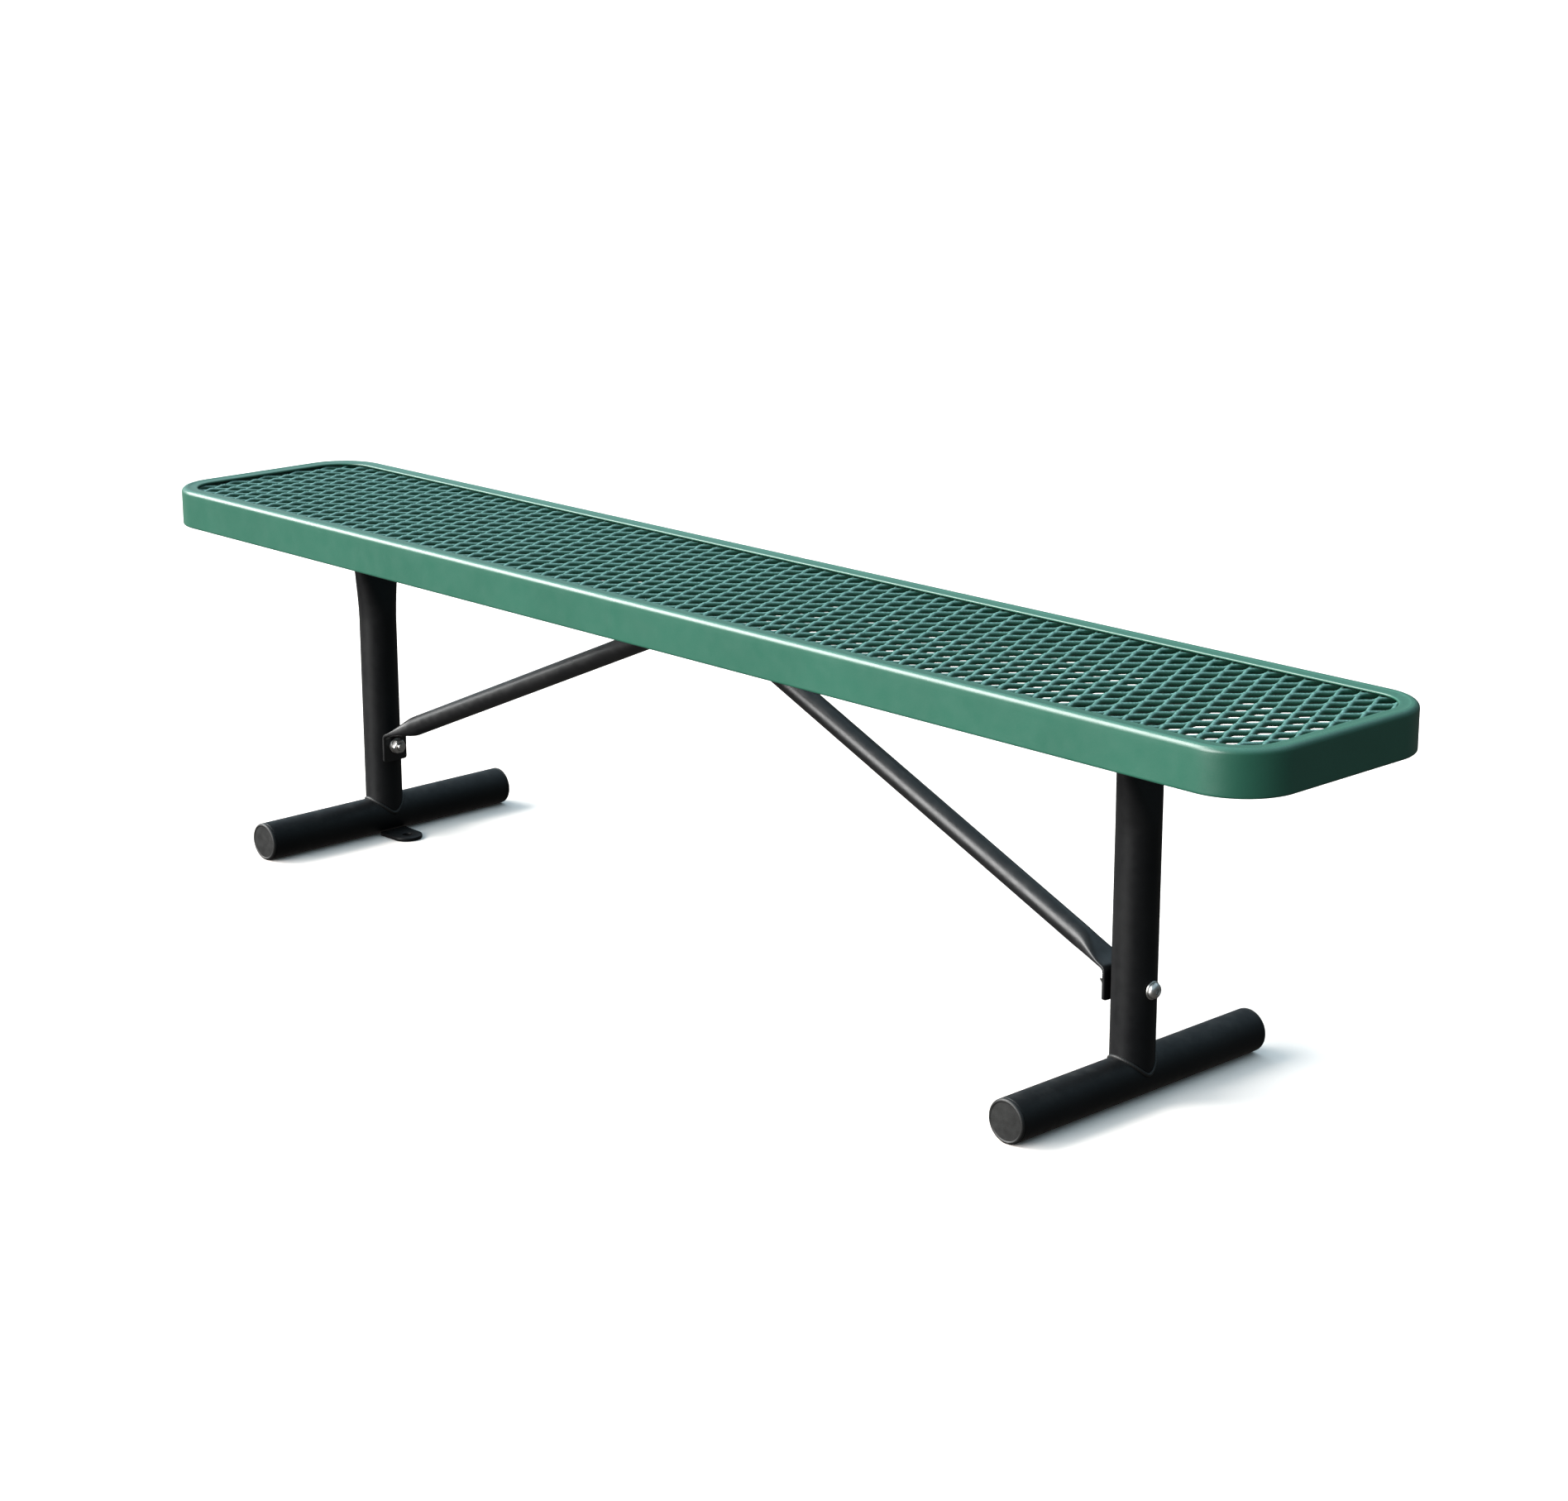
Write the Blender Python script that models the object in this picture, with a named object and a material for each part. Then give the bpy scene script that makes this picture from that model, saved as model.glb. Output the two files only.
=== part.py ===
"""Backless park bench: a coated expanded-metal seat on two bolted pedestal legs.

Metres, +Z up. +X runs along the seat, -Y is the front, and the origin is on the
ground under the middle of the seat. Every separate piece is its own object.
"""
import math

import bmesh
import bpy
from mathutils import Matrix, Vector

# Whole bench
SEAT_LENGTH = 1.829
SEAT_WIDTH = 0.305
SEAT_HEIGHT = 0.450
LEG_SPACING = 1.306
FOOT_LENGTH = 0.386
TOUCH_GAP = 0.0003

# Seat rim: skirt, rounded top edge and flat inward lip
SKIRT_HEIGHT = 0.049
RIM_CORNER_RADIUS = 0.067
RIM_EDGE_RADIUS = 0.006
RIM_THICKNESS = 0.004
LIP_WIDTH = 0.021
CORNER_SEGMENTS = 8
EDGE_SEGMENTS = 4

# Expanded-metal panel, drawn at a coarser pitch than the real sheet
PANEL_THICKNESS = 0.009
PANEL_INSET = 0.008
STRAND_WIDTH = 0.007
OPENINGS_ALONG = 38
OPENINGS_ACROSS = 2.5

# Cross members under the panel
ANGLE_HEIGHT = 0.034
ANGLE_FLANGE = 0.038
ANGLE_THICKNESS = 0.004
BAR_HEIGHT = 0.036
BAR_THICKNESS = 0.005

# Legs
TUBE_RADIUS = 0.02415
TUBE_WALL = 0.003
TUBE_SIDES = 32
PINCH_START_HEIGHT = 0.285
PINCH_END_HEIGHT = 0.390
PINCHED_HALF_DEPTH = 0.0065
PINCHED_HALF_WIDTH = 0.0355
PINCH_STEPS = 6
TOP_PLATE_LENGTH = 0.150
TOP_PLATE_WIDTH = 0.038
TOP_PLATE_THICKNESS = 0.005
CAP_THICKNESS = 0.004

# Anchor tabs on the feet
TAB_REACH = 0.068
TAB_HALF_WIDTH = 0.020
TAB_THICKNESS = 0.005
TAB_START = 0.015
TAB_HOLE_RADIUS = 0.0065
TAB_ROUND_SEGMENTS = 14

# Diagonal braces
BRACE_RADIUS = 0.0127
BRACE_WALL = 0.002
BRACE_SIDES = 16
BRACE_FLAT_HALF_THICKNESS = 0.0025
BRACE_FLAT_HALF_WIDTH = 0.0185
BRACE_SLIT_HALF_THICKNESS = 0.0003
BRACE_LOWER_BEND_HEIGHT = 0.1373
BRACE_UPPER_BEND_HEIGHT = 0.4026
BRACE_BEND_RADIUS = 0.007
BRACE_BEND_STEPS = 4
BRACE_TAPER = 0.050
BRACE_TAPER_STEPS = 4
BRACE_FOOT_HEIGHT = 0.1025
BRACE_HEAD_HEIGHT = 0.4345
FLAT_SQUARENESS = 0.4

# M10 fasteners
BOLT_RADIUS = 0.0049
BOLT_HOLE_RADIUS = 0.0055
BOLT_SIDES = 16
BOLT_TAIL = 0.003
HEAD_RADIUS = 0.00875
HEAD_HEIGHT = 0.0055
HEAD_DOME_STEPS = 4
SOCKET_RADIUS = 0.0034
SOCKET_DEPTH = 0.0028
WASHER_RADIUS = 0.010
WASHER_HOLE_RADIUS = 0.0053
WASHER_THICKNESS = 0.0018
NUT_RADIUS = 0.0096
NUT_HOLE_RADIUS = 0.0052
NUT_HEIGHT = 0.0084
LOWER_BOLT_HEIGHT = 0.123
CENTRE_BOLT_HEIGHT = 0.4185
SEAT_BOLT_OFFSET = 0.054

# Places that follow from the sizes above
PANEL_TOP = SEAT_HEIGHT - RIM_THICKNESS - TOUCH_GAP
PANEL_BOTTOM = PANEL_TOP - PANEL_THICKNESS
CROSS_TOP = PANEL_BOTTOM - TOUCH_GAP
ANGLE_BOTTOM = CROSS_TOP - ANGLE_HEIGHT
PLATE_TOP = ANGLE_BOTTOM - TOUCH_GAP
PLATE_BOTTOM = PLATE_TOP - TOP_PLATE_THICKNESS
POST_TOP = PLATE_BOTTOM - TOUCH_GAP
CROSS_HALF_LENGTH = SEAT_WIDTH / 2 - RIM_THICKNESS - TOUCH_GAP
LEG_X = LEG_SPACING / 2
SIDES = {"left": -1, "right": 1}
ENDS = {"front": -1, "back": 1}

GREEN_COATING = ((0.045, 0.235, 0.155, 1.0), 0.35, 0.0)
BLACK_PAINT = ((0.012, 0.013, 0.016, 1.0), 0.38, 0.0)
STAINLESS = ((0.62, 0.61, 0.59, 1.0), 0.28, 1.0)


def clear_scene():
    for old in list(bpy.data.objects):
        bpy.data.objects.remove(old, do_unlink=True)


def add_object(name, shape, finish=None):
    """Turn a bmesh into a named object with its own material."""
    bmesh.ops.recalc_face_normals(shape, faces=shape.faces)
    mesh = bpy.data.meshes.new(name)
    shape.to_mesh(mesh)
    shape.free()
    mesh.shade_smooth()
    mesh.set_sharp_from_angle(angle=math.radians(35))
    piece = bpy.data.objects.new(name, mesh)
    bpy.context.scene.collection.objects.link(piece)
    if finish:
        colour, roughness, metallic = finish
        material = bpy.data.materials.new(name + "_finish")
        material.use_nodes = True
        shader = material.node_tree.nodes["Principled BSDF"]
        shader.inputs["Base Color"].default_value = colour
        shader.inputs["Roughness"].default_value = roughness
        shader.inputs["Metallic"].default_value = metallic
        mesh.materials.append(material)
    return piece


def add_cutter(name, shape):
    """Add a wire-only guide solid that another piece is cut with."""
    cutter = add_object(name, shape)
    cutter.hide_render = True
    cutter.display_type = "WIRE"
    return cutter


def cut(piece, cutter, operation="DIFFERENCE"):
    modifier = piece.modifiers.new(cutter.name, "BOOLEAN")
    modifier.operation = operation
    modifier.solver = "EXACT"
    modifier.object = cutter


def loft(rings):
    """Join rings of points, each with the same count, into one closed body."""
    shape = bmesh.new()
    loops = [[shape.verts.new(point) for point in ring] for ring in rings]
    for near, far in zip(loops, loops[1:]):
        for index in range(len(near)):
            following = (index + 1) % len(near)
            shape.faces.new((near[index], near[following], far[following], far[index]))
    shape.faces.new(loops[0])
    shape.faces.new(loops[-1])
    return shape


def prism(outline, thickness_vector):
    """Extrude a flat outline along a vector into a closed solid."""
    return loft([outline, [point + thickness_vector for point in outline]])


def ring_points(radius, sides, centre=Vector(), u=Vector((1, 0, 0)), v=Vector((0, 1, 0))):
    angles = [2 * math.pi * step / sides for step in range(sides)]
    return [centre + radius * (math.cos(a) * u + math.sin(a) * v) for a in angles]


def rod(start, end, radius, sides):
    """A solid round rod between two points."""
    axis = end - start
    turn = axis.to_track_quat("Z", "Y").to_matrix()
    return prism(ring_points(radius, sides, start, turn.col[0], turn.col[1]), axis)


def box(low, high):
    outline = [Vector((low[0], low[1], low[2])), Vector((high[0], low[1], low[2])),
               Vector((high[0], high[1], low[2])), Vector((low[0], high[1], low[2]))]
    return prism(outline, Vector((0, 0, high[2] - low[2])))


def lathe(profile, sides):
    """Turn a profile of (radius, height) points about +Z. It starts and ends off the axis."""
    return loft([ring_points(radius, sides, Vector((0, 0, height))) for radius, height in profile])


def join_loops(profile, sides):
    """Turn a closed profile of (radius, height) points into a ring-shaped body about +Z."""
    shape = bmesh.new()
    loops = [[shape.verts.new(point) for point in ring_points(radius, sides, Vector((0, 0, height)))]
             for radius, height in profile]
    for near, far in zip(loops, loops[1:] + loops[:1]):
        for index in range(sides):
            following = (index + 1) % sides
            shape.faces.new((near[index], near[following], far[following], far[index]))
    return shape


def smoothstep(value):
    value = min(max(value, 0.0), 1.0)
    return value * value * (3 - 2 * value)


# ---------------------------------------------------------------- seat

def rim_stations(side):
    """Points on the outer edge of one half of the rim, with their outward normals."""
    half_length = SEAT_LENGTH / 2
    half_width = SEAT_WIDTH / 2
    start_x = TOUCH_GAP / 2
    stations = [(Vector((side * start_x, -half_width, 0)), Vector((0, -1, 0)))]
    for end, first_angle in ((-1, -90), (1, 0)):
        centre = Vector((half_length - RIM_CORNER_RADIUS, end * (half_width - RIM_CORNER_RADIUS), 0))
        for step in range(CORNER_SEGMENTS + 1):
            angle = math.radians(first_angle + 90 * step / CORNER_SEGMENTS)
            normal = Vector((math.cos(angle), math.sin(angle), 0))
            point = centre + RIM_CORNER_RADIUS * normal
            stations.append((Vector((side * point.x, point.y, 0)), Vector((side * normal.x, normal.y, 0))))
    stations.append((Vector((side * start_x, half_width, 0)), Vector((0, 1, 0))))
    return stations


def rim_profile():
    """Cross-section of the rim as (distance inward, height) points."""
    bottom = SEAT_HEIGHT - SKIRT_HEIGHT
    profile = [(0, bottom)]
    for step in range(EDGE_SEGMENTS + 1):
        angle = math.pi / 2 * step / EDGE_SEGMENTS
        inward = RIM_EDGE_RADIUS * (1 - math.cos(angle))
        profile.append((inward, SEAT_HEIGHT - RIM_EDGE_RADIUS * (1 - math.sin(angle))))
    profile.append((LIP_WIDTH, SEAT_HEIGHT))
    profile.append((LIP_WIDTH, SEAT_HEIGHT - RIM_THICKNESS))
    inner_radius = RIM_EDGE_RADIUS - RIM_THICKNESS
    profile.append((RIM_EDGE_RADIUS, SEAT_HEIGHT - RIM_THICKNESS))
    profile.append((RIM_THICKNESS, SEAT_HEIGHT - RIM_THICKNESS - inner_radius))
    profile.append((RIM_THICKNESS, bottom))
    return profile


def make_rim_half(name, side):
    rings = []
    for edge, normal in rim_stations(side):
        rings.append([edge - inward * normal + Vector((0, 0, height)) for inward, height in rim_profile()])
    return add_object(name, loft(rings), GREEN_COATING)


def seat_outline(inset, height):
    """Rounded rectangle of the seat, drawn in from its edge by inset."""
    outline = []
    for side in (1, -1):
        stations = rim_stations(side)[1:-1]
        if side < 0:
            stations.reverse()
        outline += [edge - inset * normal + Vector((0, 0, height)) for edge, normal in stations]
    return outline


def make_panel():
    panel = add_object("seat_panel",
                       prism(seat_outline(PANEL_INSET, PANEL_BOTTOM), Vector((0, 0, PANEL_THICKNESS))),
                       GREEN_COATING)
    window_length = SEAT_LENGTH - 2 * LIP_WIDTH
    window_width = SEAT_WIDTH - 2 * LIP_WIDTH
    half_along = window_length / OPENINGS_ALONG / 2
    half_across = window_width / OPENINGS_ACROSS / 2
    centre_to_side = half_along * half_across / math.hypot(half_along, half_across)
    shrink = 1 - STRAND_WIDTH / 2 / centre_to_side
    depth = Vector((0, 0, 3 * PANEL_THICKNESS))
    low = PANEL_BOTTOM - PANEL_THICKNESS
    openings = bmesh.new()
    rows = math.ceil(OPENINGS_ACROSS)
    for row in range(-rows, rows + 1):
        for column in range(-OPENINGS_ALONG, OPENINGS_ALONG + 1):
            if (row + column) % 2 == 0:
                centre = Vector((column * half_along, row * half_across, low))
                corners = [centre + Vector((shrink * half_along * u, shrink * half_across * v, 0))
                           for u, v in ((1, 0), (0, 1), (-1, 0), (0, -1))]
                add_prism(openings, corners, depth)
    cutter = add_cutter("panel_openings", openings)
    window = add_cutter("panel_window", prism(seat_outline(LIP_WIDTH, low), depth))
    cut(cutter, window, "INTERSECT")
    cut(panel, cutter)


def add_prism(shape, corners, depth):
    """Add one prism to a bmesh that already holds others."""
    low = [shape.verts.new(corner) for corner in corners]
    high = [shape.verts.new(corner + depth) for corner in corners]
    shape.faces.new(low)
    shape.faces.new(high)
    for index in range(len(low)):
        following = (index + 1) % len(low)
        shape.faces.new((low[index], low[following], high[following], high[index]))


# ---------------------------------------------------------------- cross members

def make_cross_angle(name, side):
    """Angle across the seat: its web is on the inner side and its flange is at the bottom."""
    inner = LEG_X - ANGLE_FLANGE / 2
    outer = LEG_X + ANGLE_FLANGE / 2
    section = ((inner, ANGLE_BOTTOM), (outer, ANGLE_BOTTOM), (outer, ANGLE_BOTTOM + ANGLE_THICKNESS),
               (inner + ANGLE_THICKNESS, ANGLE_BOTTOM + ANGLE_THICKNESS),
               (inner + ANGLE_THICKNESS, CROSS_TOP), (inner, CROSS_TOP))
    outline = [Vector((side * x, -CROSS_HALF_LENGTH, z)) for x, z in section]
    angle = add_object(name, prism(outline, Vector((0, 2 * CROSS_HALF_LENGTH, 0))), GREEN_COATING)
    for end_name, end in ENDS.items():
        centre = Vector((side * LEG_X, end * SEAT_BOLT_OFFSET, ANGLE_BOTTOM))
        cut_hole(angle, end_name, centre, Vector((0, 0, 1)), 2 * ANGLE_THICKNESS)


def make_cross_bar():
    """Flat bar on edge, across the middle of the seat, with the hole for the centre bolt."""
    low = (-BAR_THICKNESS / 2, -CROSS_HALF_LENGTH, CROSS_TOP - BAR_HEIGHT)
    high = (BAR_THICKNESS / 2, CROSS_HALF_LENGTH, CROSS_TOP)
    bar = add_object("center_cross_bar", box(low, high), GREEN_COATING)
    cut_hole(bar, "centre", Vector((0, 0, CENTRE_BOLT_HEIGHT)), Vector((1, 0, 0)), 2 * BAR_THICKNESS)


def cut_hole(piece, label, centre, axis, half_depth, radius=BOLT_HOLE_RADIUS):
    shape = rod(centre - half_depth * axis, centre + half_depth * axis, radius, BOLT_SIDES)
    cut(piece, add_cutter("{}_{}_hole".format(piece.name, label), shape))


# ---------------------------------------------------------------- legs

def post_ring(height, inset):
    """Oval section of a post: round below, pinched along X towards the top."""
    pinch = smoothstep((height - PINCH_START_HEIGHT) / (PINCH_END_HEIGHT - PINCH_START_HEIGHT))
    depth = TUBE_RADIUS + pinch * (PINCHED_HALF_DEPTH - TUBE_RADIUS) - inset
    width = TUBE_RADIUS + pinch * (PINCHED_HALF_WIDTH - TUBE_RADIUS) - inset
    angles = [2 * math.pi * step / TUBE_SIDES for step in range(TUBE_SIDES)]
    return [Vector((depth * math.cos(a), width * math.sin(a), height)) for a in angles]


def make_post(name, side):
    pinch_height = PINCH_END_HEIGHT - PINCH_START_HEIGHT
    heights = [PINCH_START_HEIGHT + pinch_height * step / PINCH_STEPS for step in range(PINCH_STEPS + 1)]
    saddle_height = TUBE_RADIUS
    outer = [post_ring(height, 0) for height in [saddle_height] + heights + [POST_TOP]]
    inner = [post_ring(height, TUBE_WALL) for height in [0] + heights]
    post = add_object(name, loft(outer), BLACK_PAINT)
    bore = add_cutter(name + "_bore", loft(inner))
    reach = Vector((0, 2 * TUBE_RADIUS, 0))
    axis_point = Vector((0, 0, TUBE_RADIUS))
    saddle = rod(axis_point - reach, axis_point + reach, TUBE_RADIUS + TOUCH_GAP, TUBE_SIDES)
    saddle_cutter = add_cutter(name + "_saddle", saddle)
    for shape in (post, bore, saddle_cutter):
        shape.location.x = side * LEG_X
    cut(post, bore)
    cut(post, saddle_cutter)
    cut_hole(post, "bolt", Vector((side * LEG_X, 0, LOWER_BOLT_HEIGHT)), Vector((1, 0, 0)), 2 * TUBE_RADIUS)
    return post


def make_foot(side_name, side):
    half_length = FOOT_LENGTH / 2 - CAP_THICKNESS - TOUCH_GAP
    inner_radius = TUBE_RADIUS - TUBE_WALL
    section = [(TUBE_RADIUS, -half_length), (TUBE_RADIUS, half_length),
               (inner_radius, half_length), (inner_radius, -half_length)]
    tube = add_object("foot_tube_" + side_name, join_loops(section, TUBE_SIDES), BLACK_PAINT)
    tube.rotation_euler.x = math.radians(90)
    tube.location = (side * LEG_X, 0, TUBE_RADIUS)
    for end_name, end in ENDS.items():
        start = Vector((side * LEG_X, end * (half_length + TOUCH_GAP), TUBE_RADIUS))
        finish = start + Vector((0, end * CAP_THICKNESS, 0))
        cap_name = "foot_cap_{}_{}".format(side_name, end_name)
        add_object(cap_name, rod(start, finish, TUBE_RADIUS, TUBE_SIDES), BLACK_PAINT)


def make_anchor_tab(name, side):
    """Round-ended lug on the ground, on the inner side of the foot, with its anchor hole."""
    round_centre = TAB_REACH - TAB_HALF_WIDTH
    outline = [Vector((TAB_START, -TAB_HALF_WIDTH, 0)), Vector((TAB_START, TAB_HALF_WIDTH, 0))]
    for step in range(TAB_ROUND_SEGMENTS + 1):
        angle = math.pi / 2 - math.pi * step / TAB_ROUND_SEGMENTS
        outline.append(Vector((round_centre + TAB_HALF_WIDTH * math.cos(angle),
                               TAB_HALF_WIDTH * math.sin(angle), 0)))
    placed = [Vector((side * (LEG_X - point.x), point.y, 0)) for point in outline]
    tab = add_object(name, prism(placed, Vector((0, 0, TAB_THICKNESS))), BLACK_PAINT)
    hole_centre = Vector((side * (LEG_X - round_centre), 0, 0))
    cut_hole(tab, "anchor", hole_centre, Vector((0, 0, 1)), 2 * TAB_THICKNESS, TAB_HOLE_RADIUS)


def make_top_plate(name, side):
    low = (side * LEG_X - TOP_PLATE_WIDTH / 2, -TOP_PLATE_LENGTH / 2, PLATE_BOTTOM)
    high = (side * LEG_X + TOP_PLATE_WIDTH / 2, TOP_PLATE_LENGTH / 2, PLATE_TOP)
    plate = add_object(name, box(low, high), BLACK_PAINT)
    for end_name, end in ENDS.items():
        centre = Vector((side * LEG_X, end * SEAT_BOLT_OFFSET, PLATE_BOTTOM))
        cut_hole(plate, end_name, centre, Vector((0, 0, 1)), 2 * TOP_PLATE_THICKNESS)


# ---------------------------------------------------------------- braces

def brace_path():
    """Corners of a right-hand brace's centre line: foot, lower bend, upper bend, head."""
    foot_x = LEG_X - TUBE_RADIUS - TOUCH_GAP - BRACE_FLAT_HALF_THICKNESS
    head_x = BAR_THICKNESS / 2 + TOUCH_GAP + BRACE_FLAT_HALF_THICKNESS
    return (Vector((foot_x, 0, BRACE_FOOT_HEIGHT)), Vector((foot_x, 0, BRACE_LOWER_BEND_HEIGHT)),
            Vector((head_x, 0, BRACE_UPPER_BEND_HEIGHT)), Vector((head_x, 0, BRACE_HEAD_HEIGHT)))


def bend_stations(before, corner, after):
    """Points and directions around one bend, as an arc that touches both straight runs."""
    into = (corner - before).normalized()
    out = (after - corner).normalized()
    turn = into.angle(out)
    setback = BRACE_BEND_RADIUS * math.tan(turn / 2)
    start = corner - setback * into
    hinge_axis = into.cross(out).normalized()
    to_centre = hinge_axis.cross(into)
    centre = start + BRACE_BEND_RADIUS * to_centre
    stations = []
    for step in range(BRACE_BEND_STEPS + 1):
        rotation = Matrix.Rotation(turn * step / BRACE_BEND_STEPS, 3, hinge_axis)
        stations.append((centre - BRACE_BEND_RADIUS * (rotation @ to_centre), rotation @ into))
    return stations


def brace_stations(overrun):
    """Stations (point, direction, roundness) from foot to head; overrun lengthens both tabs."""
    foot, lower, upper, head = brace_path()
    up = Vector((0, 0, 1))
    lower_bend = bend_stations(foot, lower, upper)
    upper_bend = bend_stations(lower, upper, head)
    run = (upper - lower).normalized()
    stations = [(foot - overrun * up, up, 0.0)]
    stations += [(point, direction, 0.0) for point, direction in lower_bend]
    for step in range(1, BRACE_TAPER_STEPS + 1):
        fraction = step / BRACE_TAPER_STEPS
        stations.append((lower_bend[-1][0] + fraction * BRACE_TAPER * run, run, smoothstep(fraction)))
    for step in range(BRACE_TAPER_STEPS, 0, -1):
        fraction = step / BRACE_TAPER_STEPS
        stations.append((upper_bend[0][0] - fraction * BRACE_TAPER * run, run, smoothstep(fraction)))
    stations += [(point, direction, 0.0) for point, direction in upper_bend]
    stations.append((head + overrun * up, up, 0.0))
    return stations


def brace_ring(point, direction, roundness, inset):
    """Section of the brace: round in its length, a flat strip across Y at its ends."""
    width = BRACE_FLAT_HALF_WIDTH + roundness * (BRACE_RADIUS - BRACE_FLAT_HALF_WIDTH) - inset
    thickness = BRACE_FLAT_HALF_THICKNESS + roundness * (BRACE_RADIUS - BRACE_FLAT_HALF_THICKNESS)
    if inset:
        thickness = max(thickness - inset, BRACE_SLIT_HALF_THICKNESS)
    power = FLAT_SQUARENESS + roundness * (1 - FLAT_SQUARENESS)
    across = Vector((0, 1, 0))
    normal = direction.cross(across)
    ring = []
    for step in range(BRACE_SIDES):
        angle = 2 * math.pi * step / BRACE_SIDES
        u = math.copysign(abs(math.cos(angle)) ** power, math.cos(angle))
        v = math.copysign(abs(math.sin(angle)) ** power, math.sin(angle))
        ring.append(point + width * u * across + thickness * v * normal)
    return ring


def make_brace(name, side):
    outer = [brace_ring(*station, 0) for station in brace_stations(0)]
    inner = [brace_ring(*station, BRACE_WALL) for station in brace_stations(BRACE_WALL)]
    brace = add_object(name, loft(mirror_rings(outer, side)), BLACK_PAINT)
    bore = add_cutter(name + "_bore", loft(mirror_rings(inner, side)))
    cut(brace, bore)
    foot, _, _, head = brace_path()
    for label, x, height in (("lower", foot.x, LOWER_BOLT_HEIGHT), ("upper", head.x, CENTRE_BOLT_HEIGHT)):
        centre = Vector((side * x, 0, height))
        cut_hole(brace, label, centre, Vector((1, 0, 0)), 2 * BRACE_FLAT_HALF_THICKNESS)


def mirror_rings(rings, side):
    return [[Vector((side * point.x, point.y, point.z)) for point in ring] for ring in rings]


# ---------------------------------------------------------------- fasteners

def place_along(piece, seat, axis):
    """Stand a piece that was made along +Z on a seat point, pointing along an axis."""
    piece.rotation_mode = "QUATERNION"
    piece.rotation_quaternion = axis.to_track_quat("Z", "Y")
    piece.location = seat


def make_bolt(name, seat, axis, grip):
    """Button-head bolt. Its head stands on the seat point and its shank runs grip against axis."""
    profile = [(BOLT_RADIUS, -grip), (BOLT_RADIUS, 0), (HEAD_RADIUS, 0)]
    for step in range(1, HEAD_DOME_STEPS):
        angle = math.pi / 2 * step / HEAD_DOME_STEPS
        profile.append((HEAD_RADIUS * math.cos(angle), HEAD_HEIGHT * math.sin(angle)))
    profile[-1] = (profile[-1][0], HEAD_HEIGHT)
    bolt = add_object(name, lathe(profile, BOLT_SIDES), STAINLESS)
    place_along(bolt, seat, axis)
    low = Vector((0, 0, HEAD_HEIGHT - SOCKET_DEPTH))
    socket = add_cutter(name + "_socket", prism(ring_points(SOCKET_RADIUS, 6, low),
                                                Vector((0, 0, 2 * SOCKET_DEPTH))))
    place_along(socket, seat, axis)
    cut(bolt, socket)


def make_washer(name, seat, axis):
    section = [(WASHER_RADIUS, 0), (WASHER_RADIUS, WASHER_THICKNESS),
               (WASHER_HOLE_RADIUS, WASHER_THICKNESS), (WASHER_HOLE_RADIUS, 0)]
    washer = add_object(name, join_loops(section, BOLT_SIDES), STAINLESS)
    place_along(washer, seat, axis)


def make_nut(name, seat, axis):
    nut = add_object(name, prism(ring_points(NUT_RADIUS, 6), Vector((0, 0, NUT_HEIGHT))), STAINLESS)
    place_along(nut, seat, axis)
    start = seat - NUT_HEIGHT * axis
    hole = rod(start, start + 3 * NUT_HEIGHT * axis, NUT_HOLE_RADIUS, BOLT_SIDES)
    cut(nut, add_cutter(name + "_thread", hole))


def make_clamp_set(names, head_face, nut_face):
    """Bolt, washers and nut through a stack of parts whose outer faces are given."""
    axis = (head_face - nut_face).normalized()
    head_seat = head_face + TOUCH_GAP * axis
    if "head_washer" in names:
        make_washer(names["head_washer"], head_seat, axis)
        head_seat = head_seat + (WASHER_THICKNESS + TOUCH_GAP) * axis
    washer_seat = nut_face - TOUCH_GAP * axis
    make_washer(names["nut_washer"], washer_seat, -axis)
    nut_seat = washer_seat - (WASHER_THICKNESS + TOUCH_GAP) * axis
    make_nut(names["nut"], nut_seat, -axis)
    grip = (head_seat - nut_seat).length + NUT_HEIGHT + BOLT_TAIL
    make_bolt(names["bolt"], head_seat, axis, grip)


def make_lower_fasteners(side_name, side):
    foot = brace_path()[0]
    head_face = Vector((side * (LEG_X + TUBE_RADIUS), 0, LOWER_BOLT_HEIGHT))
    nut_face = Vector((side * (foot.x - BRACE_FLAT_HALF_THICKNESS), 0, LOWER_BOLT_HEIGHT))
    names = {"bolt": "brace_bolt_" + side_name, "head_washer": "brace_outer_washer_" + side_name,
             "nut_washer": "brace_inner_washer_" + side_name, "nut": "brace_nut_" + side_name}
    make_clamp_set(names, head_face, nut_face)


def make_centre_fasteners():
    reach = brace_path()[3].x + BRACE_FLAT_HALF_THICKNESS
    names = {"bolt": "center_bolt", "head_washer": "center_head_washer",
             "nut_washer": "center_nut_washer", "nut": "center_nut"}
    make_clamp_set(names, Vector((reach, 0, CENTRE_BOLT_HEIGHT)), Vector((-reach, 0, CENTRE_BOLT_HEIGHT)))


def make_seat_fasteners(side_name, side):
    for end_name, end in ENDS.items():
        place = "{}_{}".format(side_name, end_name)
        x = side * LEG_X
        y = end * SEAT_BOLT_OFFSET
        names = {"bolt": "seat_bolt_" + place, "nut_washer": "seat_washer_" + place,
                 "nut": "seat_nut_" + place}
        make_clamp_set(names, Vector((x, y, PLATE_BOTTOM)),
                       Vector((x, y, ANGLE_BOTTOM + ANGLE_THICKNESS)))


def main():
    clear_scene()
    make_panel()
    make_cross_bar()
    make_centre_fasteners()
    for side_name, side in SIDES.items():
        make_rim_half("rim_half_" + side_name, side)
        make_cross_angle("cross_angle_" + side_name, side)
        make_top_plate("top_plate_" + side_name, side)
        make_post("post_" + side_name, side)
        make_foot(side_name, side)
        make_anchor_tab("anchor_tab_" + side_name, side)
        make_brace("brace_" + side_name, side)
        make_lower_fasteners(side_name, side)
        make_seat_fasteners(side_name, side)


main()
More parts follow.
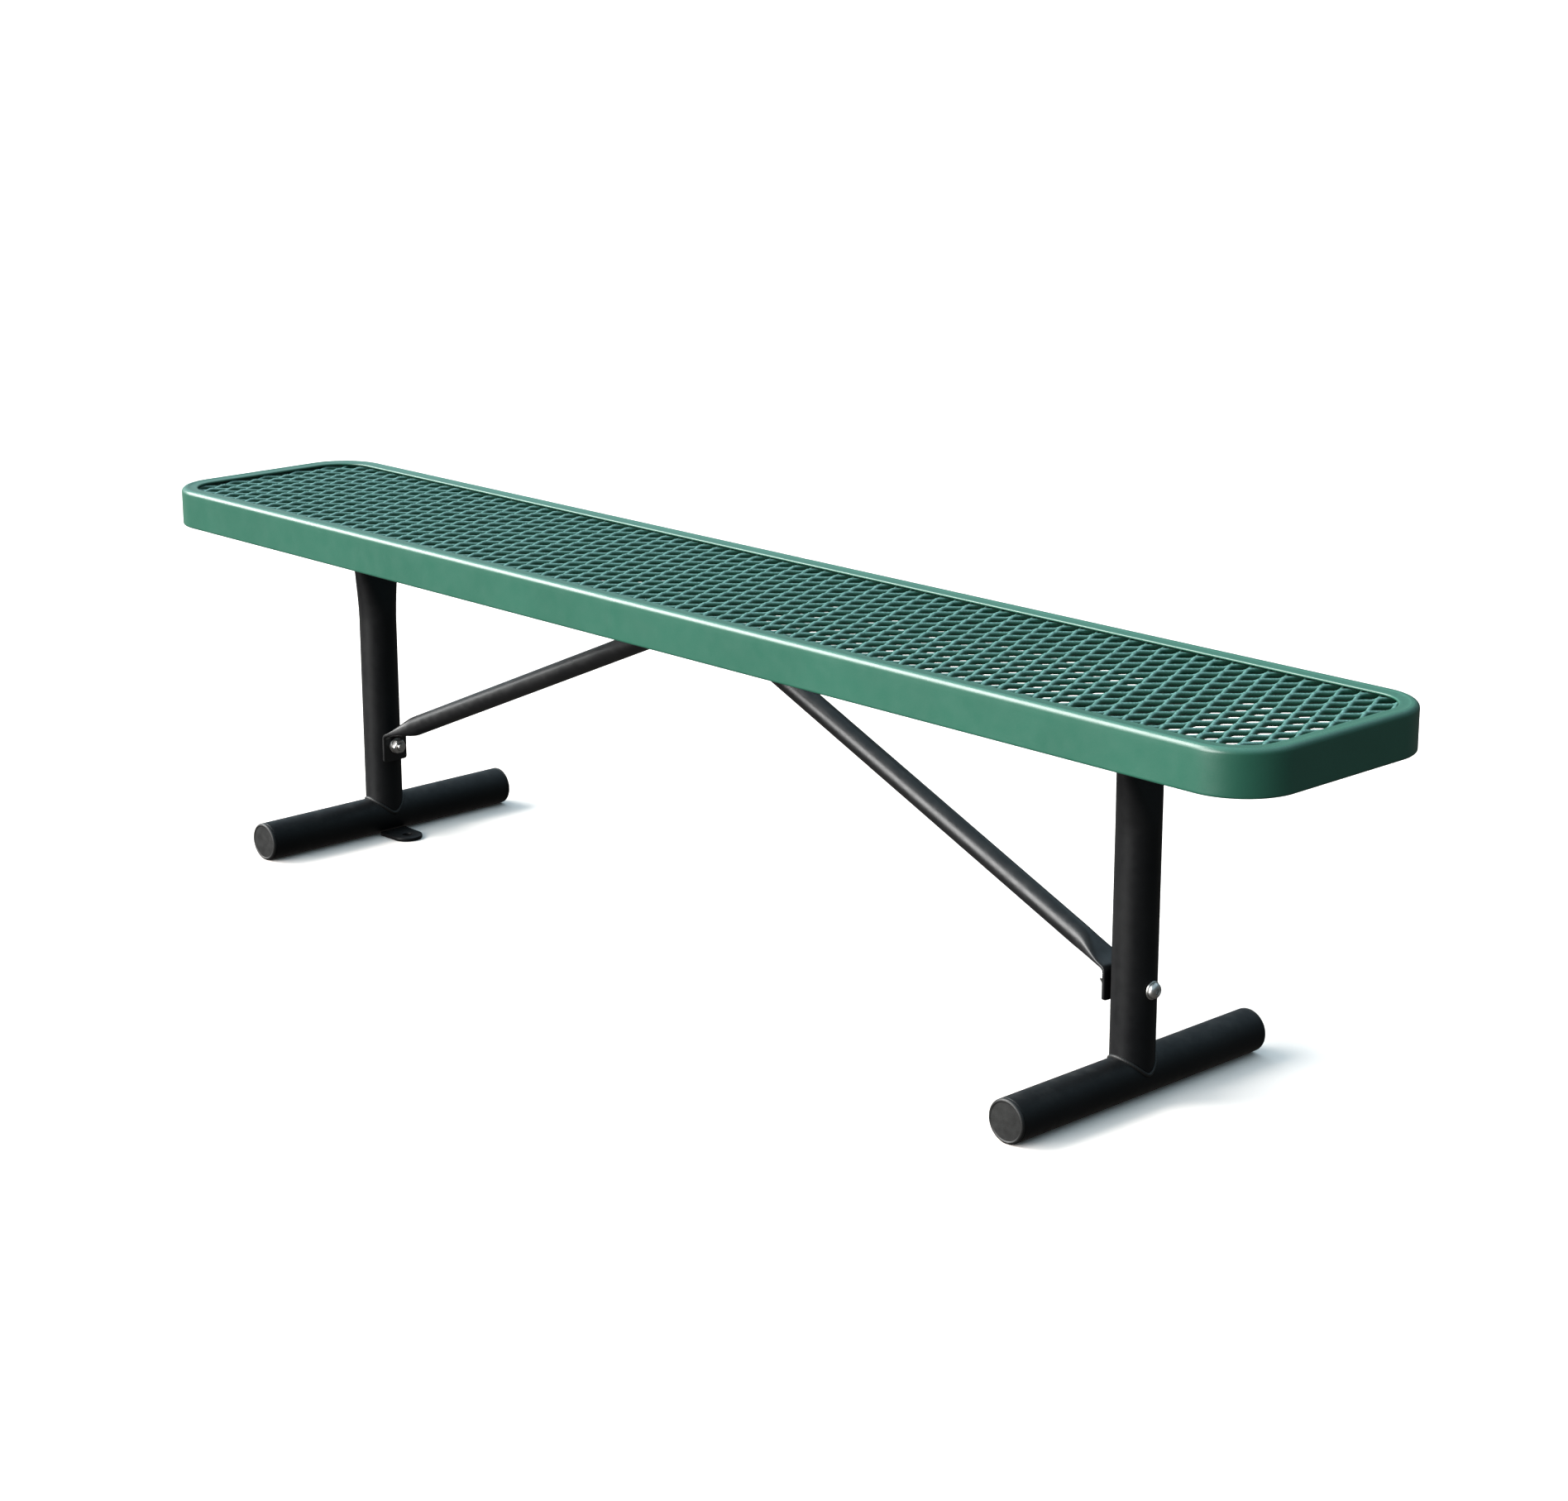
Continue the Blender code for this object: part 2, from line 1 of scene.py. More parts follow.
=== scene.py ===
"""Looks of the backless park bench: plastic-coated expanded-metal seat on black pedestal legs.

Metres, +Z up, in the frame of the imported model. +X runs along the seat and -Y is the front.
"""
import math
import random

import bmesh
import bpy
from mathutils import Matrix, Vector, noise


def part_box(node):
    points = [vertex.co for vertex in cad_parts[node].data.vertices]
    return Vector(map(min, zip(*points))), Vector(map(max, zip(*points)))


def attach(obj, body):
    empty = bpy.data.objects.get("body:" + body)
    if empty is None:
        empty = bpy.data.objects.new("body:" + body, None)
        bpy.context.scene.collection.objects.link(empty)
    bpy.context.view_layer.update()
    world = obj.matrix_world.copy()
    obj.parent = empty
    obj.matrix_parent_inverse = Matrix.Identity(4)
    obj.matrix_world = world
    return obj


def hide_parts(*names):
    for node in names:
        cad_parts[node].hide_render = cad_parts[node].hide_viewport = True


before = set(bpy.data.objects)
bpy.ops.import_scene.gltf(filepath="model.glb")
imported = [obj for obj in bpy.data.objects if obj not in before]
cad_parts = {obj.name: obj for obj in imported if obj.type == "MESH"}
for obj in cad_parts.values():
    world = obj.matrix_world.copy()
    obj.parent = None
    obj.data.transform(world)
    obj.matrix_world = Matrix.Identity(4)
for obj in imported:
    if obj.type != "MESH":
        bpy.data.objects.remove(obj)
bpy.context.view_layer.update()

SIDES = {"left": -1, "right": 1}
ENDS = {"front": -1, "back": 1}

# Camera
CAMERA_LENS = 73.77
CAMERA_AZIMUTH = math.radians(46.853)
CAMERA_ELEVATION = math.radians(15.599)
CAMERA_ROLL = math.radians(-0.079)
CAMERA_TARGET = Vector((0.0786, 0.0417, 0.250))
CAMERA_DISTANCE = 3.7247

# Studio
WORLD_BRIGHT_SIDE = (-0.99, 0.10, 0.10)
WORLD_DIM = 0.25
WORLD_BRIGHT = 0.95
WORLD_BRIGHT_FROM = 0.66
WORLD_GROUND = (0.36, 0.35, 0.33, 1.0)
WORLD_HORIZON = (0.80, 0.94, 1.0, 1.0)
WORLD_LOW_SKY = (0.62, 0.86, 1.0, 1.0)
WORLD_ZENITH = (3.6, 4.8, 5.6, 1.0)
HORIZON_LEVEL = 0.1
LOW_SKY_LEVEL = 0.38
ZENITH_LEVEL = 0.85
KEY_SUN = {"direction": (-0.70, -0.45, 0.55), "angle": 42, "strength": 7.4, "colour": (1.0, 0.99, 0.97)}
FRONT_SUN = {"direction": (-0.25, -0.93, 0.24), "angle": 40, "strength": 5.5, "colour": (1.0, 0.99, 0.98)}
FLOOR_HALF_SIZE = 60.0

# Rim section
EDGE_RADIUS = 0.006
CORNER_RADIUS = 0.067
LIP_WIDTH = 0.021
LIP_FALL = 0.0012
LIP_EDGE_RADIUS = 0.0014
RIM_THICKNESS = 0.0042
RIM_INNER_FILLET = 0.003
RIM_WAVE_DEPTH = 0.00004
SEAM_DEPTH = 0.00028
SEAM_HALF_WIDTH = 0.0055
SEAM_RIDGE_HALF_WIDTH = 0.0018
SEAM_STATIONS = (-0.0085, -0.0055, -0.0035, -0.002, -0.001, 0.0011, 0.0021, 0.0036, 0.0056, 0.0086)

# Expanded metal
SHORT_PITCH = 0.02344
LONG_PITCH = 0.0508
LATTICE_X = -0.016
LATTICE_Y = 0.0227
STRAND_WIDTH = 0.0040
STRAND_THICKNESS = 0.0048
COATING = 0.00070
BOND_LENGTH = 0.0045
FORK_DEPTH = 0.0006
BOND_FLARE = 1.05
STRAND_ROUNDNESS = 0.68
STRAND_EASING = 0.022
STRAND_TILT = math.radians(32)
TILT_SIGN = -1
PANEL_TOP_GAP = 0.00005
PANEL_SKIRT_GAP = 0.0043

# Plates and bars
ANGLE_THICKNESS = 0.004
COATED_EDGE = 0.0009
PAINTED_EDGE = 0.0008

# Legs
TUBE_RADIUS = 0.02415
TUBE_WALL = 0.003
PINCH_START_HEIGHT = 0.285
PINCH_END_HEIGHT = 0.390
PINCHED_HALF_DEPTH = 0.0065
COPE_TIP = 0.0055
WELD_SINK = 0.0004
SADDLE_BEAD_RADIUS = 0.0024
TOP_BEAD_RADIUS = 0.0022
CAP_EDGE_RADIUS = 0.0026
TAB_HOLE_RADIUS = 0.0065
TAB_EDGE = 0.0011

# Fasteners
WASHER_HOLE_RADIUS = 0.0053
WASHER_EDGE = 0.0003
NUT_HOLE_RADIUS = 0.0051
NUT_CHAMFER = 0.0011
HEAD_HEIGHT = 0.0055
HEAD_CROWN_RADIUS = 0.0042
SHANK_RADIUS = 0.0048
THREAD_PITCH = 0.0015
THREAD_DEPTH = 0.00045
THREAD_TURNS = 13
SOCKET_RADIUS = 0.0034
SOCKET_DEPTH = 0.0028

# Braces
BRACE_RADIUS = 0.0127
BRACE_FLAT_HALF_THICKNESS = 0.0025
BRACE_LOWER_BEND_HEIGHT = 0.1373
BRACE_UPPER_BEND_HEIGHT = 0.4026
BRACE_BEND_RADIUS = 0.007
BRACE_TAPER = 0.050
BRACE_TAB_CORNER = 0.003
FLAT_SQUARENESS = 0.4


# ---------------------------------------------------------------- mesh tools

def smoothstep(value):
    value = min(max(value, 0.0), 1.0)
    return value * value * (3 - 2 * value)


def add_piece(name, points, faces, material, stands_for=(), crease=40):
    """Make a closed mesh piece that rides on the bench and may stand for CAD nodes."""
    mesh = bpy.data.meshes.new(name)
    mesh.from_pydata([tuple(point) for point in points], [], faces)
    shape = bmesh.new()
    shape.from_mesh(mesh)
    bmesh.ops.recalc_face_normals(shape, faces=shape.faces)
    shape.to_mesh(mesh)
    shape.free()
    return finish_piece(name, mesh, material, stands_for, crease)


def finish_piece(name, mesh, material, stands_for=(), crease=40):
    mesh.materials.clear()
    mesh.materials.append(material)
    mesh.shade_smooth()
    mesh.set_sharp_from_angle(angle=math.radians(crease))
    piece = bpy.data.objects.new(name, mesh)
    bpy.context.scene.collection.objects.link(piece)
    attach(piece, "root")
    if stands_for:
        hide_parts(*stands_for)
    return piece


def loft(rings, closed=False):
    """Points and faces of a skin over equal rings, capped at both ends unless it closes on itself."""
    count = len(rings[0])
    points = [point for ring in rings for point in ring]
    faces = []
    spans = len(rings) if closed else len(rings) - 1
    for row in range(spans):
        near = row * count
        far = (row + 1) % len(rings) * count
        for index in range(count):
            following = (index + 1) % count
            faces.append((near + index, near + following, far + following, far + index))
    if not closed:
        faces.append(tuple(range(count)))
        faces.append(tuple(range((len(rings) - 1) * count, len(rings) * count)))
    return points, faces


def arc(centre, radius, start, end, steps):
    """Points of an arc in a plane, with angles in degrees, both ends included."""
    points = []
    for step in range(steps + 1):
        angle = math.radians(start + (end - start) * step / steps)
        points.append((centre[0] + radius * math.cos(angle), centre[1] + radius * math.sin(angle)))
    return points


def turned(profile, sides, origin, axis, radius_at=None):
    """Rings of a profile of (radius, height) turned about an axis through the origin."""
    turn = axis.to_track_quat("Z", "Y").to_matrix()
    rings = []
    for radius, height in profile:
        ring = []
        for index in range(sides):
            angle = 2 * math.pi * index / sides
            reach = radius_at(radius, angle) if radius_at else radius
            ring.append(origin + turn @ Vector((reach * math.cos(angle), reach * math.sin(angle), height)))
        rings.append(ring)
    return rings


# ---------------------------------------------------------------- materials

class Nodes:
    """Short helper to build one node material."""

    def __init__(self, name):
        self.material = bpy.data.materials.new(name)
        self.material.use_nodes = True
        self.tree = self.material.node_tree
        self.shader = self.tree.nodes["Principled BSDF"]
        self.place = self.add("ShaderNodeTexCoord").outputs["Object"]

    def add(self, kind, **settings):
        node = self.tree.nodes.new(kind)
        for key, value in settings.items():
            setattr(node, key, value)
        return node

    def link(self, source, target):
        self.tree.links.new(source, target)

    def noise(self, scale, detail, stretch=None):
        """Noise value from 0 to 1 in object space; scale is in cycles per metre."""
        texture = self.add("ShaderNodeTexNoise")
        texture.inputs["Scale"].default_value = scale
        texture.inputs["Detail"].default_value = detail
        if stretch:
            mapping = self.add("ShaderNodeMapping")
            mapping.inputs["Scale"].default_value = stretch
            self.link(self.place, mapping.inputs["Vector"])
            self.link(mapping.outputs["Vector"], texture.inputs["Vector"])
        else:
            self.link(self.place, texture.inputs["Vector"])
        return texture.outputs["Fac"]

    def ranged(self, source, low, high, from_low=0.0, from_high=1.0):
        node = self.add("ShaderNodeMapRange")
        node.inputs["From Min"].default_value = from_low
        node.inputs["From Max"].default_value = from_high
        node.inputs["To Min"].default_value = low
        node.inputs["To Max"].default_value = high
        self.link(source, node.inputs["Value"])
        return node.outputs["Result"]

    def math(self, operation, first, second):
        node = self.add("ShaderNodeMath", operation=operation)
        for socket, value in zip(node.inputs, (first, second)):
            if isinstance(value, (int, float)):
                socket.default_value = value
            else:
                self.link(value, socket)
        return node.outputs["Value"]

    def mix(self, factor, first, second):
        node = self.add("ShaderNodeMix", data_type="RGBA")
        for socket, value in ((node.inputs[0], factor), (node.inputs[6], first), (node.inputs[7], second)):
            if isinstance(value, (int, float, tuple)):
                socket.default_value = value
            else:
                self.link(value, socket)
        return node.outputs[2]

    def bump(self, height, distance, strength=1.0, under=None):
        node = self.add("ShaderNodeBump")
        node.inputs["Strength"].default_value = strength
        node.inputs["Distance"].default_value = distance
        self.link(height, node.inputs["Height"])
        if under:
            self.link(under, node.inputs["Normal"])
        return node.outputs["Normal"]

    def upward(self):
        """How far a surface faces up, from -1 to 1."""
        geometry = self.add("ShaderNodeNewGeometry")
        split = self.add("ShaderNodeSeparateXYZ")
        self.link(geometry.outputs["Normal"], split.inputs["Vector"])
        return split.outputs["Z"]


def make_coating(name, crest, most_dust_and_top_light, dust, specular):
    """Semi-gloss green plastic that the seat was dipped in, paler where it faces up from dust and painted
    top light.
    """
    nodes = Nodes(name)
    deep = (0.013, 0.072, 0.046, 1.0)
    light = (0.017, 0.088, 0.057, 1.0)
    cloud = nodes.ranged(nodes.noise(9, 4), 0.25, 0.75, 0.3, 0.7)
    colour = nodes.mix(cloud, deep, light)
    speckle = nodes.ranged(nodes.noise(1400, 2), 0.0, 0.16, 0.55, 0.75)
    colour = nodes.mix(speckle, colour, (0.026, 0.11, 0.075, 1.0))
    # Painted top light: faces turned up past crest are mixed toward the paler teal colour, partly dust and
    # partly painted light.
    facing = nodes.ranged(nodes.upward(), 0.0, 1.0, crest, 1.0)
    film = nodes.ranged(nodes.noise(420, 5), 0.3 * most_dust_and_top_light, most_dust_and_top_light, 0.40, 0.68)
    colour = nodes.mix(nodes.math("MULTIPLY", facing, film), colour, dust)
    nodes.link(colour, nodes.shader.inputs["Base Color"])
    patches = nodes.ranged(nodes.noise(55, 5), 0.33, 0.39, 0.3, 0.7)
    nodes.link(patches, nodes.shader.inputs["Roughness"])
    swell = nodes.bump(nodes.noise(70, 2), 0.0003, 0.12)
    peel = nodes.bump(nodes.noise(520, 2), 0.00010, 0.5, swell)
    nodes.link(peel, nodes.shader.inputs["Normal"])
    nodes.shader.inputs["Specular IOR Level"].default_value = specular
    return nodes.material


def make_paint(name, specular, smoothest):
    """Black powder coat with a fine orange peel, dust on top and light scuffs."""
    nodes = Nodes(name)
    base = nodes.mix(nodes.ranged(nodes.noise(14, 4), 0.0, 1.0, 0.35, 0.65),
                     (0.0040, 0.0042, 0.0047, 1.0), (0.0060, 0.0061, 0.0064, 1.0))
    facing = nodes.ranged(nodes.upward(), 0.0, 1.0, 0.3, 1.0)
    film = nodes.ranged(nodes.noise(60, 6), 0.0, 0.10, 0.45, 0.75)
    colour = nodes.mix(nodes.math("MULTIPLY", facing, film), base, (0.12, 0.115, 0.105, 1.0))
    nodes.link(colour, nodes.shader.inputs["Base Color"])
    rough = nodes.ranged(nodes.noise(90, 5), smoothest, smoothest + 0.12, 0.3, 0.7)
    nodes.link(rough, nodes.shader.inputs["Roughness"])
    peel = nodes.bump(nodes.noise(900, 2), 0.00008, 0.6)
    nodes.link(peel, nodes.shader.inputs["Normal"])
    nodes.shader.inputs["Specular IOR Level"].default_value = specular
    return nodes.material


def make_end_paint():
    """Duller black paint on the sawn and welded ends of the feet."""
    nodes = Nodes("matte_end_paint")
    base = nodes.mix(nodes.ranged(nodes.noise(45, 5), 0.0, 1.0, 0.35, 0.65),
                     (0.0075, 0.0075, 0.0072, 1.0), (0.012, 0.012, 0.0115, 1.0))
    nodes.link(base, nodes.shader.inputs["Base Color"])
    nodes.link(nodes.ranged(nodes.noise(120, 5), 0.42, 0.58, 0.3, 0.7), nodes.shader.inputs["Roughness"])
    grain = nodes.bump(nodes.noise(1100, 3), 0.00012, 0.7)
    nodes.link(grain, nodes.shader.inputs["Normal"])
    nodes.shader.inputs["Specular IOR Level"].default_value = 0.35
    return nodes.material


def make_steel():
    """Stainless steel with a turned grain and a little grime."""
    nodes = Nodes("stainless_steel")
    grime = nodes.ranged(nodes.noise(420, 5), 0.0, 0.55, 0.5, 0.78)
    colour = nodes.mix(grime, (0.62, 0.61, 0.59, 1.0), (0.20, 0.185, 0.165, 1.0))
    nodes.link(colour, nodes.shader.inputs["Base Color"])
    nodes.shader.inputs["Metallic"].default_value = 1.0
    nodes.link(nodes.ranged(nodes.noise(900, 4), 0.30, 0.46, 0.3, 0.7), nodes.shader.inputs["Roughness"])
    grain = nodes.bump(nodes.noise(2600, 2, (0.15, 1, 1)), 0.00003, 0.6)
    nodes.link(grain, nodes.shader.inputs["Normal"])
    return nodes.material


def make_floor_material():
    nodes = Nodes("pale_floor")
    colour = nodes.mix(nodes.ranged(nodes.noise(1.5, 3), 0.0, 1.0, 0.3, 0.7),
                       (0.885, 0.80, 0.745, 1.0), (0.90, 0.815, 0.76, 1.0))
    nodes.link(colour, nodes.shader.inputs["Base Color"])
    nodes.shader.inputs["Roughness"].default_value = 0.9
    nodes.shader.inputs["Specular IOR Level"].default_value = 0.1
    return nodes.material


# The paler up-facing colour of both coatings is dust plus painted top light. On the mesh it is mostly
# painted top light.
COATING_MATERIAL = make_coating("green_plastic_coating", crest=0.55, most_dust_and_top_light=0.10,
                                dust=(0.13, 0.25, 0.205, 1.0), specular=0.58)
MESH_COATING = make_coating("green_plastic_mesh", crest=0.45, most_dust_and_top_light=0.85,
                            dust=(0.13, 0.27, 0.25, 1.0), specular=0.55)
PAINT = make_paint("black_powder_coat", specular=0.20, smoothest=0.42)
BRACE_PAINT = make_paint("satin_black_powder_coat", specular=0.48, smoothest=0.32)
END_PAINT = make_end_paint()
STEEL = make_steel()


# ---------------------------------------------------------------- seat rim

seat_low = Vector(map(min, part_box("rim_half_left")[0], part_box("rim_half_right")[0]))
seat_high = Vector(map(max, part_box("rim_half_left")[1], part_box("rim_half_right")[1]))
SEAT_TOP = seat_high.z
SKIRT_HEIGHT = seat_high.z - seat_low.z


def rim_outline(inset=0.0, corner_steps=22, spacing=0.02):
    """Stations round the seat's edge as (point, outward normal), starting at the front right corner."""
    half_length = seat_high.x - CORNER_RADIUS
    half_width = seat_high.y - CORNER_RADIUS
    stations = []
    for sx, sy, start in ((1, -1, -90), (1, 1, 0), (-1, 1, 90), (-1, -1, 180)):
        centre = Vector((sx * half_length, sy * half_width, 0))
        for step in range(corner_steps + 1):
            angle = math.radians(start + 90 * step / corner_steps)
            normal = Vector((math.cos(angle), math.sin(angle), 0))
            stations.append((centre + (CORNER_RADIUS - inset) * normal, normal))
    full = []
    for index, (point, normal) in enumerate(stations):
        following = stations[(index + 1) % len(stations)][0]
        full.append((point, normal))
        run = following - point
        steps = max(round(run.length / spacing), 1)
        shares = [step / steps for step in range(1, steps)]
        if spacing < abs(run.x):
            shares += [-(point.x + offset) / run.x for offset in SEAM_STATIONS]
        full += [(point + run * share, normal) for share in sorted(shares)]
    return full


def rim_profile():
    """Closed section as (distance inward, height below the top)."""
    wall = RIM_THICKNESS
    hem = wall / 2
    bottom = -SKIRT_HEIGHT
    profile = [(0.0, bottom + hem + 0.001)]
    profile += [(0.0, bottom * share) for share in (0.82, 0.6, 0.4, 0.25)]
    edge = arc((EDGE_RADIUS, -EDGE_RADIUS), EDGE_RADIUS, 180, 90, 9)
    profile += edge
    run = LIP_WIDTH - LIP_EDGE_RADIUS - EDGE_RADIUS
    ridges = ((0.10, 0.0), (0.16, 0.0002), (0.22, 0.0), (0.28, -0.0001), (0.5, 0.0), (0.75, 0.0))
    for share, ridge in ridges:
        fall = LIP_FALL * min(1.5 * share, 0.5 + 0.5 * share)
        profile.append((EDGE_RADIUS + run * share, ridge - fall))
    profile += arc((LIP_WIDTH - LIP_EDGE_RADIUS, -LIP_FALL - LIP_EDGE_RADIUS), LIP_EDGE_RADIUS, 90, -90, 8)
    under = -LIP_FALL - 2 * LIP_EDGE_RADIUS
    profile.append((wall + RIM_INNER_FILLET + 0.004, under))
    profile += arc((wall + RIM_INNER_FILLET, under - RIM_INNER_FILLET), RIM_INNER_FILLET, 90, 180, 4)
    profile += [(wall, bottom * 0.5), (wall, bottom + hem + 0.001)]
    profile += arc((hem, bottom + hem), hem, 0, -180, 6)
    return profile


def make_rim():
    """One coated ring for both rim halves, with a shallow dip and a low ridge in it over each weld."""
    rings = []
    profile = rim_profile()
    for edge, normal in rim_outline():
        ring = []
        for inward, height in profile:
            point = edge - inward * normal + Vector((0, 0, SEAT_TOP + height))
            wave = 0.5 + 0.5 * noise.noise(Vector((point.x * 9, point.y * 9, height * 25 + 3.1)))
            ridge = 0.8 * math.exp(-(point.x / SEAM_RIDGE_HALF_WIDTH) ** 2)
            seam = math.exp(-(point.x / SEAM_HALF_WIDTH) ** 2) - ridge
            depth = RIM_WAVE_DEPTH * wave + SEAM_DEPTH * seam
            if inward < EDGE_RADIUS and height < -EDGE_RADIUS:
                point -= depth * normal
            elif height > -EDGE_RADIUS and inward < LIP_WIDTH:
                point.z -= depth
            ring.append(point)
        rings.append(ring)
    points, faces = loft(rings, closed=True)
    add_piece("seat_rim_coated", points, faces, COATING_MATERIAL,
              ("rim_half_left", "rim_half_right"))


# ---------------------------------------------------------------- expanded metal

class ExpandedMetal:
    """Raised expanded sheet as one welded skin: bonds on a diamond lattice, joined by strands."""

    strand_stops = (0.11, 0.36, 0.64, 0.89)

    def __init__(self, top):
        self.half_strand = STRAND_WIDTH / 2 + COATING
        self.half_bond = STRAND_WIDTH + COATING
        self.half_thick = STRAND_THICKNESS / 2 + COATING
        self.round = STRAND_ROUNDNESS * self.half_thick
        self.u = Vector((math.cos(STRAND_TILT), 0, -TILT_SIGN * math.sin(STRAND_TILT)))
        self.v = Vector((TILT_SIGN * math.sin(STRAND_TILT), 0, math.cos(STRAND_TILT)))
        self.level = top - PANEL_TOP_GAP - self.half_height()
        self.points = []
        self.faces = []
        self.random = random.Random(11)
        self.bonds = {}

    def half_height(self):
        """Half the sheet's whole height: a tilted bond's outer corner above its middle."""
        across = (self.half_bond - self.round) * math.sin(STRAND_TILT)
        return across + (self.half_thick - self.round) * math.cos(STRAND_TILT) + self.round

    def ring(self, centre, half_width, half_thick):
        """Eight points of a strand's rounded section. Order: from +u round over the top to -u."""
        cut = self.round
        outline = ((half_width, half_thick - cut), (half_width - cut, half_thick),
                   (cut - half_width, half_thick), (-half_width, half_thick - cut),
                   (-half_width, cut - half_thick), (cut - half_width, -half_thick),
                   (half_width - cut, -half_thick), (half_width, cut - half_thick))
        return [self.put(centre + a * self.u + b * self.v) for a, b in outline]

    def put(self, point):
        """Add a point and give its number."""
        self.points.append(point)
        return len(self.points) - 1

    def section(self, centre, half_width, half_thick):
        """Ten points of a bond's rounded section, starting at the middle of its top."""
        cut = self.round
        outer = ((0, half_thick), (half_width - cut, half_thick), (half_width, half_thick - cut),
                 (half_width, cut - half_thick), (half_width - cut, -half_thick), (0, -half_thick),
                 (cut - half_width, -half_thick), (-half_width, cut - half_thick),
                 (-half_width, half_thick - cut), (cut - half_width, half_thick))
        return [self.put(centre + a * self.u + b * self.v) for a, b in outer]

    def add_bond(self, column, row):
        """A bond is a plate two strands wide. Its ends fork into a right-hand and a left-hand strand."""
        jitter = [self.random.uniform(-1, 1) for _ in range(4)]
        centre = Vector((LATTICE_X + column * SHORT_PITCH / 2 + 0.00025 * jitter[0],
                         LATTICE_Y + row * LONG_PITCH / 2 + 0.0006 * jitter[1],
                         self.level + 0.00015 * jitter[2]))
        swell = 1 + 0.04 * jitter[3]
        rings = {}
        for end in (-1, 0, 1):
            waist = 1.0 if end == 0 else BOND_FLARE
            spot = centre + Vector((0, end * BOND_LENGTH / 2, 0))
            rings[end] = self.section(spot, self.half_bond * waist * swell, self.half_thick * waist)
        for near, far in ((rings[-1], rings[0]), (rings[0], rings[1])):
            for index in range(10):
                following = (index + 1) % 10
                self.faces.append((near[index], near[following], far[following], far[index]))
        forks = {}
        for end in (-1, 1):
            top, r1, r0, r7, r6, low, l5, l4, l3, l2 = rings[end]
            inside = centre + Vector((0, end * (BOND_LENGTH / 2 + FORK_DEPTH), 0))
            reach = self.half_thick - self.round
            upper = self.put(inside + reach * self.v)
            lower = self.put(inside - reach * self.v)
            forks[end, "right"] = (r0, r1, top, upper, lower, low, r6, r7)
            forks[end, "left"] = (upper, top, l2, l3, l4, l5, low, lower)
        self.bonds[column, row] = (centre, forks)

    def add_strand(self, start, start_part, end, end_part):
        """Strand from the +Y fork of one bond to the -Y fork of the next."""
        offset = {"right": STRAND_WIDTH / 2 * self.u, "left": -STRAND_WIDTH / 2 * self.u}
        reach = Vector((0, BOND_LENGTH / 2, 0))
        here = self.bonds[start][0] + offset[start_part] + reach
        there = self.bonds[end][0] + offset[end_part] - reach
        rings = [self.bonds[start][1][1, start_part]]
        thin = 1 + 0.03 * self.random.uniform(-1, 1)
        for stop in self.strand_stops:
            eased = stop - STRAND_EASING * math.sin(2 * math.pi * stop)
            centre = Vector((here.x + (there.x - here.x) * eased, here.y + (there.y - here.y) * stop,
                             here.z + (there.z - here.z) * eased))
            rings.append(self.ring(centre, self.half_strand * thin, self.half_thick * thin))
        rings.append(self.bonds[end][1][-1, end_part])
        for near, far in zip(rings, rings[1:]):
            for index in range(8):
                following = (index + 1) % 8
                self.faces.append((near[index], near[following], far[following], far[index]))

    def build(self, columns, rows):
        for column in columns:
            for row in rows:
                if (column + row) % 2 == 0:
                    self.add_bond(column, row)
        used = set()
        for column, row in self.bonds:
            for part, step, far_part in (("right", 1, "left"), ("left", -1, "right")):
                far = (column + step, row + 1)
                if far in self.bonds:
                    self.add_strand((column, row), part, far, far_part)
                    used.add((column, row, 1, part))
                    used.add((*far, -1, far_part))
        for (column, row), (_, forks) in self.bonds.items():
            for (end, part), fork in forks.items():
                if (column, row, end, part) not in used:
                    self.faces.append(fork)
        return self.points, self.faces


def clip_to_rim(piece):
    """Cut the sheet to the space inside the skirt."""
    outline = [point for point, _ in rim_outline(PANEL_SKIRT_GAP, 12, 1.0)]
    low, high = SEAT_TOP - SKIRT_HEIGHT, SEAT_TOP + SKIRT_HEIGHT
    rings = [[Vector((point.x, point.y, z)) for point in outline] for z in (low, high)]
    points, faces = loft(rings)
    mesh = bpy.data.meshes.new("clip")
    mesh.from_pydata([tuple(point) for point in points], [], faces)
    shape = bmesh.new()
    shape.from_mesh(mesh)
    bmesh.ops.recalc_face_normals(shape, faces=shape.faces)
    shape.to_mesh(mesh)
    shape.free()
    cutter = bpy.data.objects.new("clip", mesh)
    bpy.context.scene.collection.objects.link(cutter)
    modifier = piece.modifiers.new("clip", "BOOLEAN")
    modifier.operation = "INTERSECT"
    modifier.solver = "MANIFOLD"
    modifier.object = cutter
    evaluated = piece.evaluated_get(bpy.context.evaluated_depsgraph_get())
    clipped = bpy.data.meshes.new_from_object(evaluated)
    bpy.data.objects.remove(piece, do_unlink=True)
    bpy.data.objects.remove(cutter, do_unlink=True)
    return clipped


def make_expanded_metal():
    low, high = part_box("seat_panel")
    sheet = ExpandedMetal(high.z)
    half_columns = math.ceil(high.x / (SHORT_PITCH / 2)) + 2
    half_rows = math.ceil(high.y / (LONG_PITCH / 2)) + 2
    points, faces = sheet.build(range(-half_columns, half_columns + 1), range(-half_rows, half_rows + 1))
    mesh = bpy.data.meshes.new("expanded_sheet")
    mesh.from_pydata([tuple(point) for point in points], [], faces)
    shape = bmesh.new()
    shape.from_mesh(mesh)
    bmesh.ops.recalc_face_normals(shape, faces=shape.faces)
    shape.to_mesh(mesh)
    shape.free()
    raw = bpy.data.objects.new("expanded_sheet", mesh)
    bpy.context.scene.collection.objects.link(raw)
    clipped = clip_to_rim(raw)
    finish_piece("seat_expanded_metal", clipped, MESH_COATING, ("seat_panel",), 70)


# ---------------------------------------------------------------- plates and bars

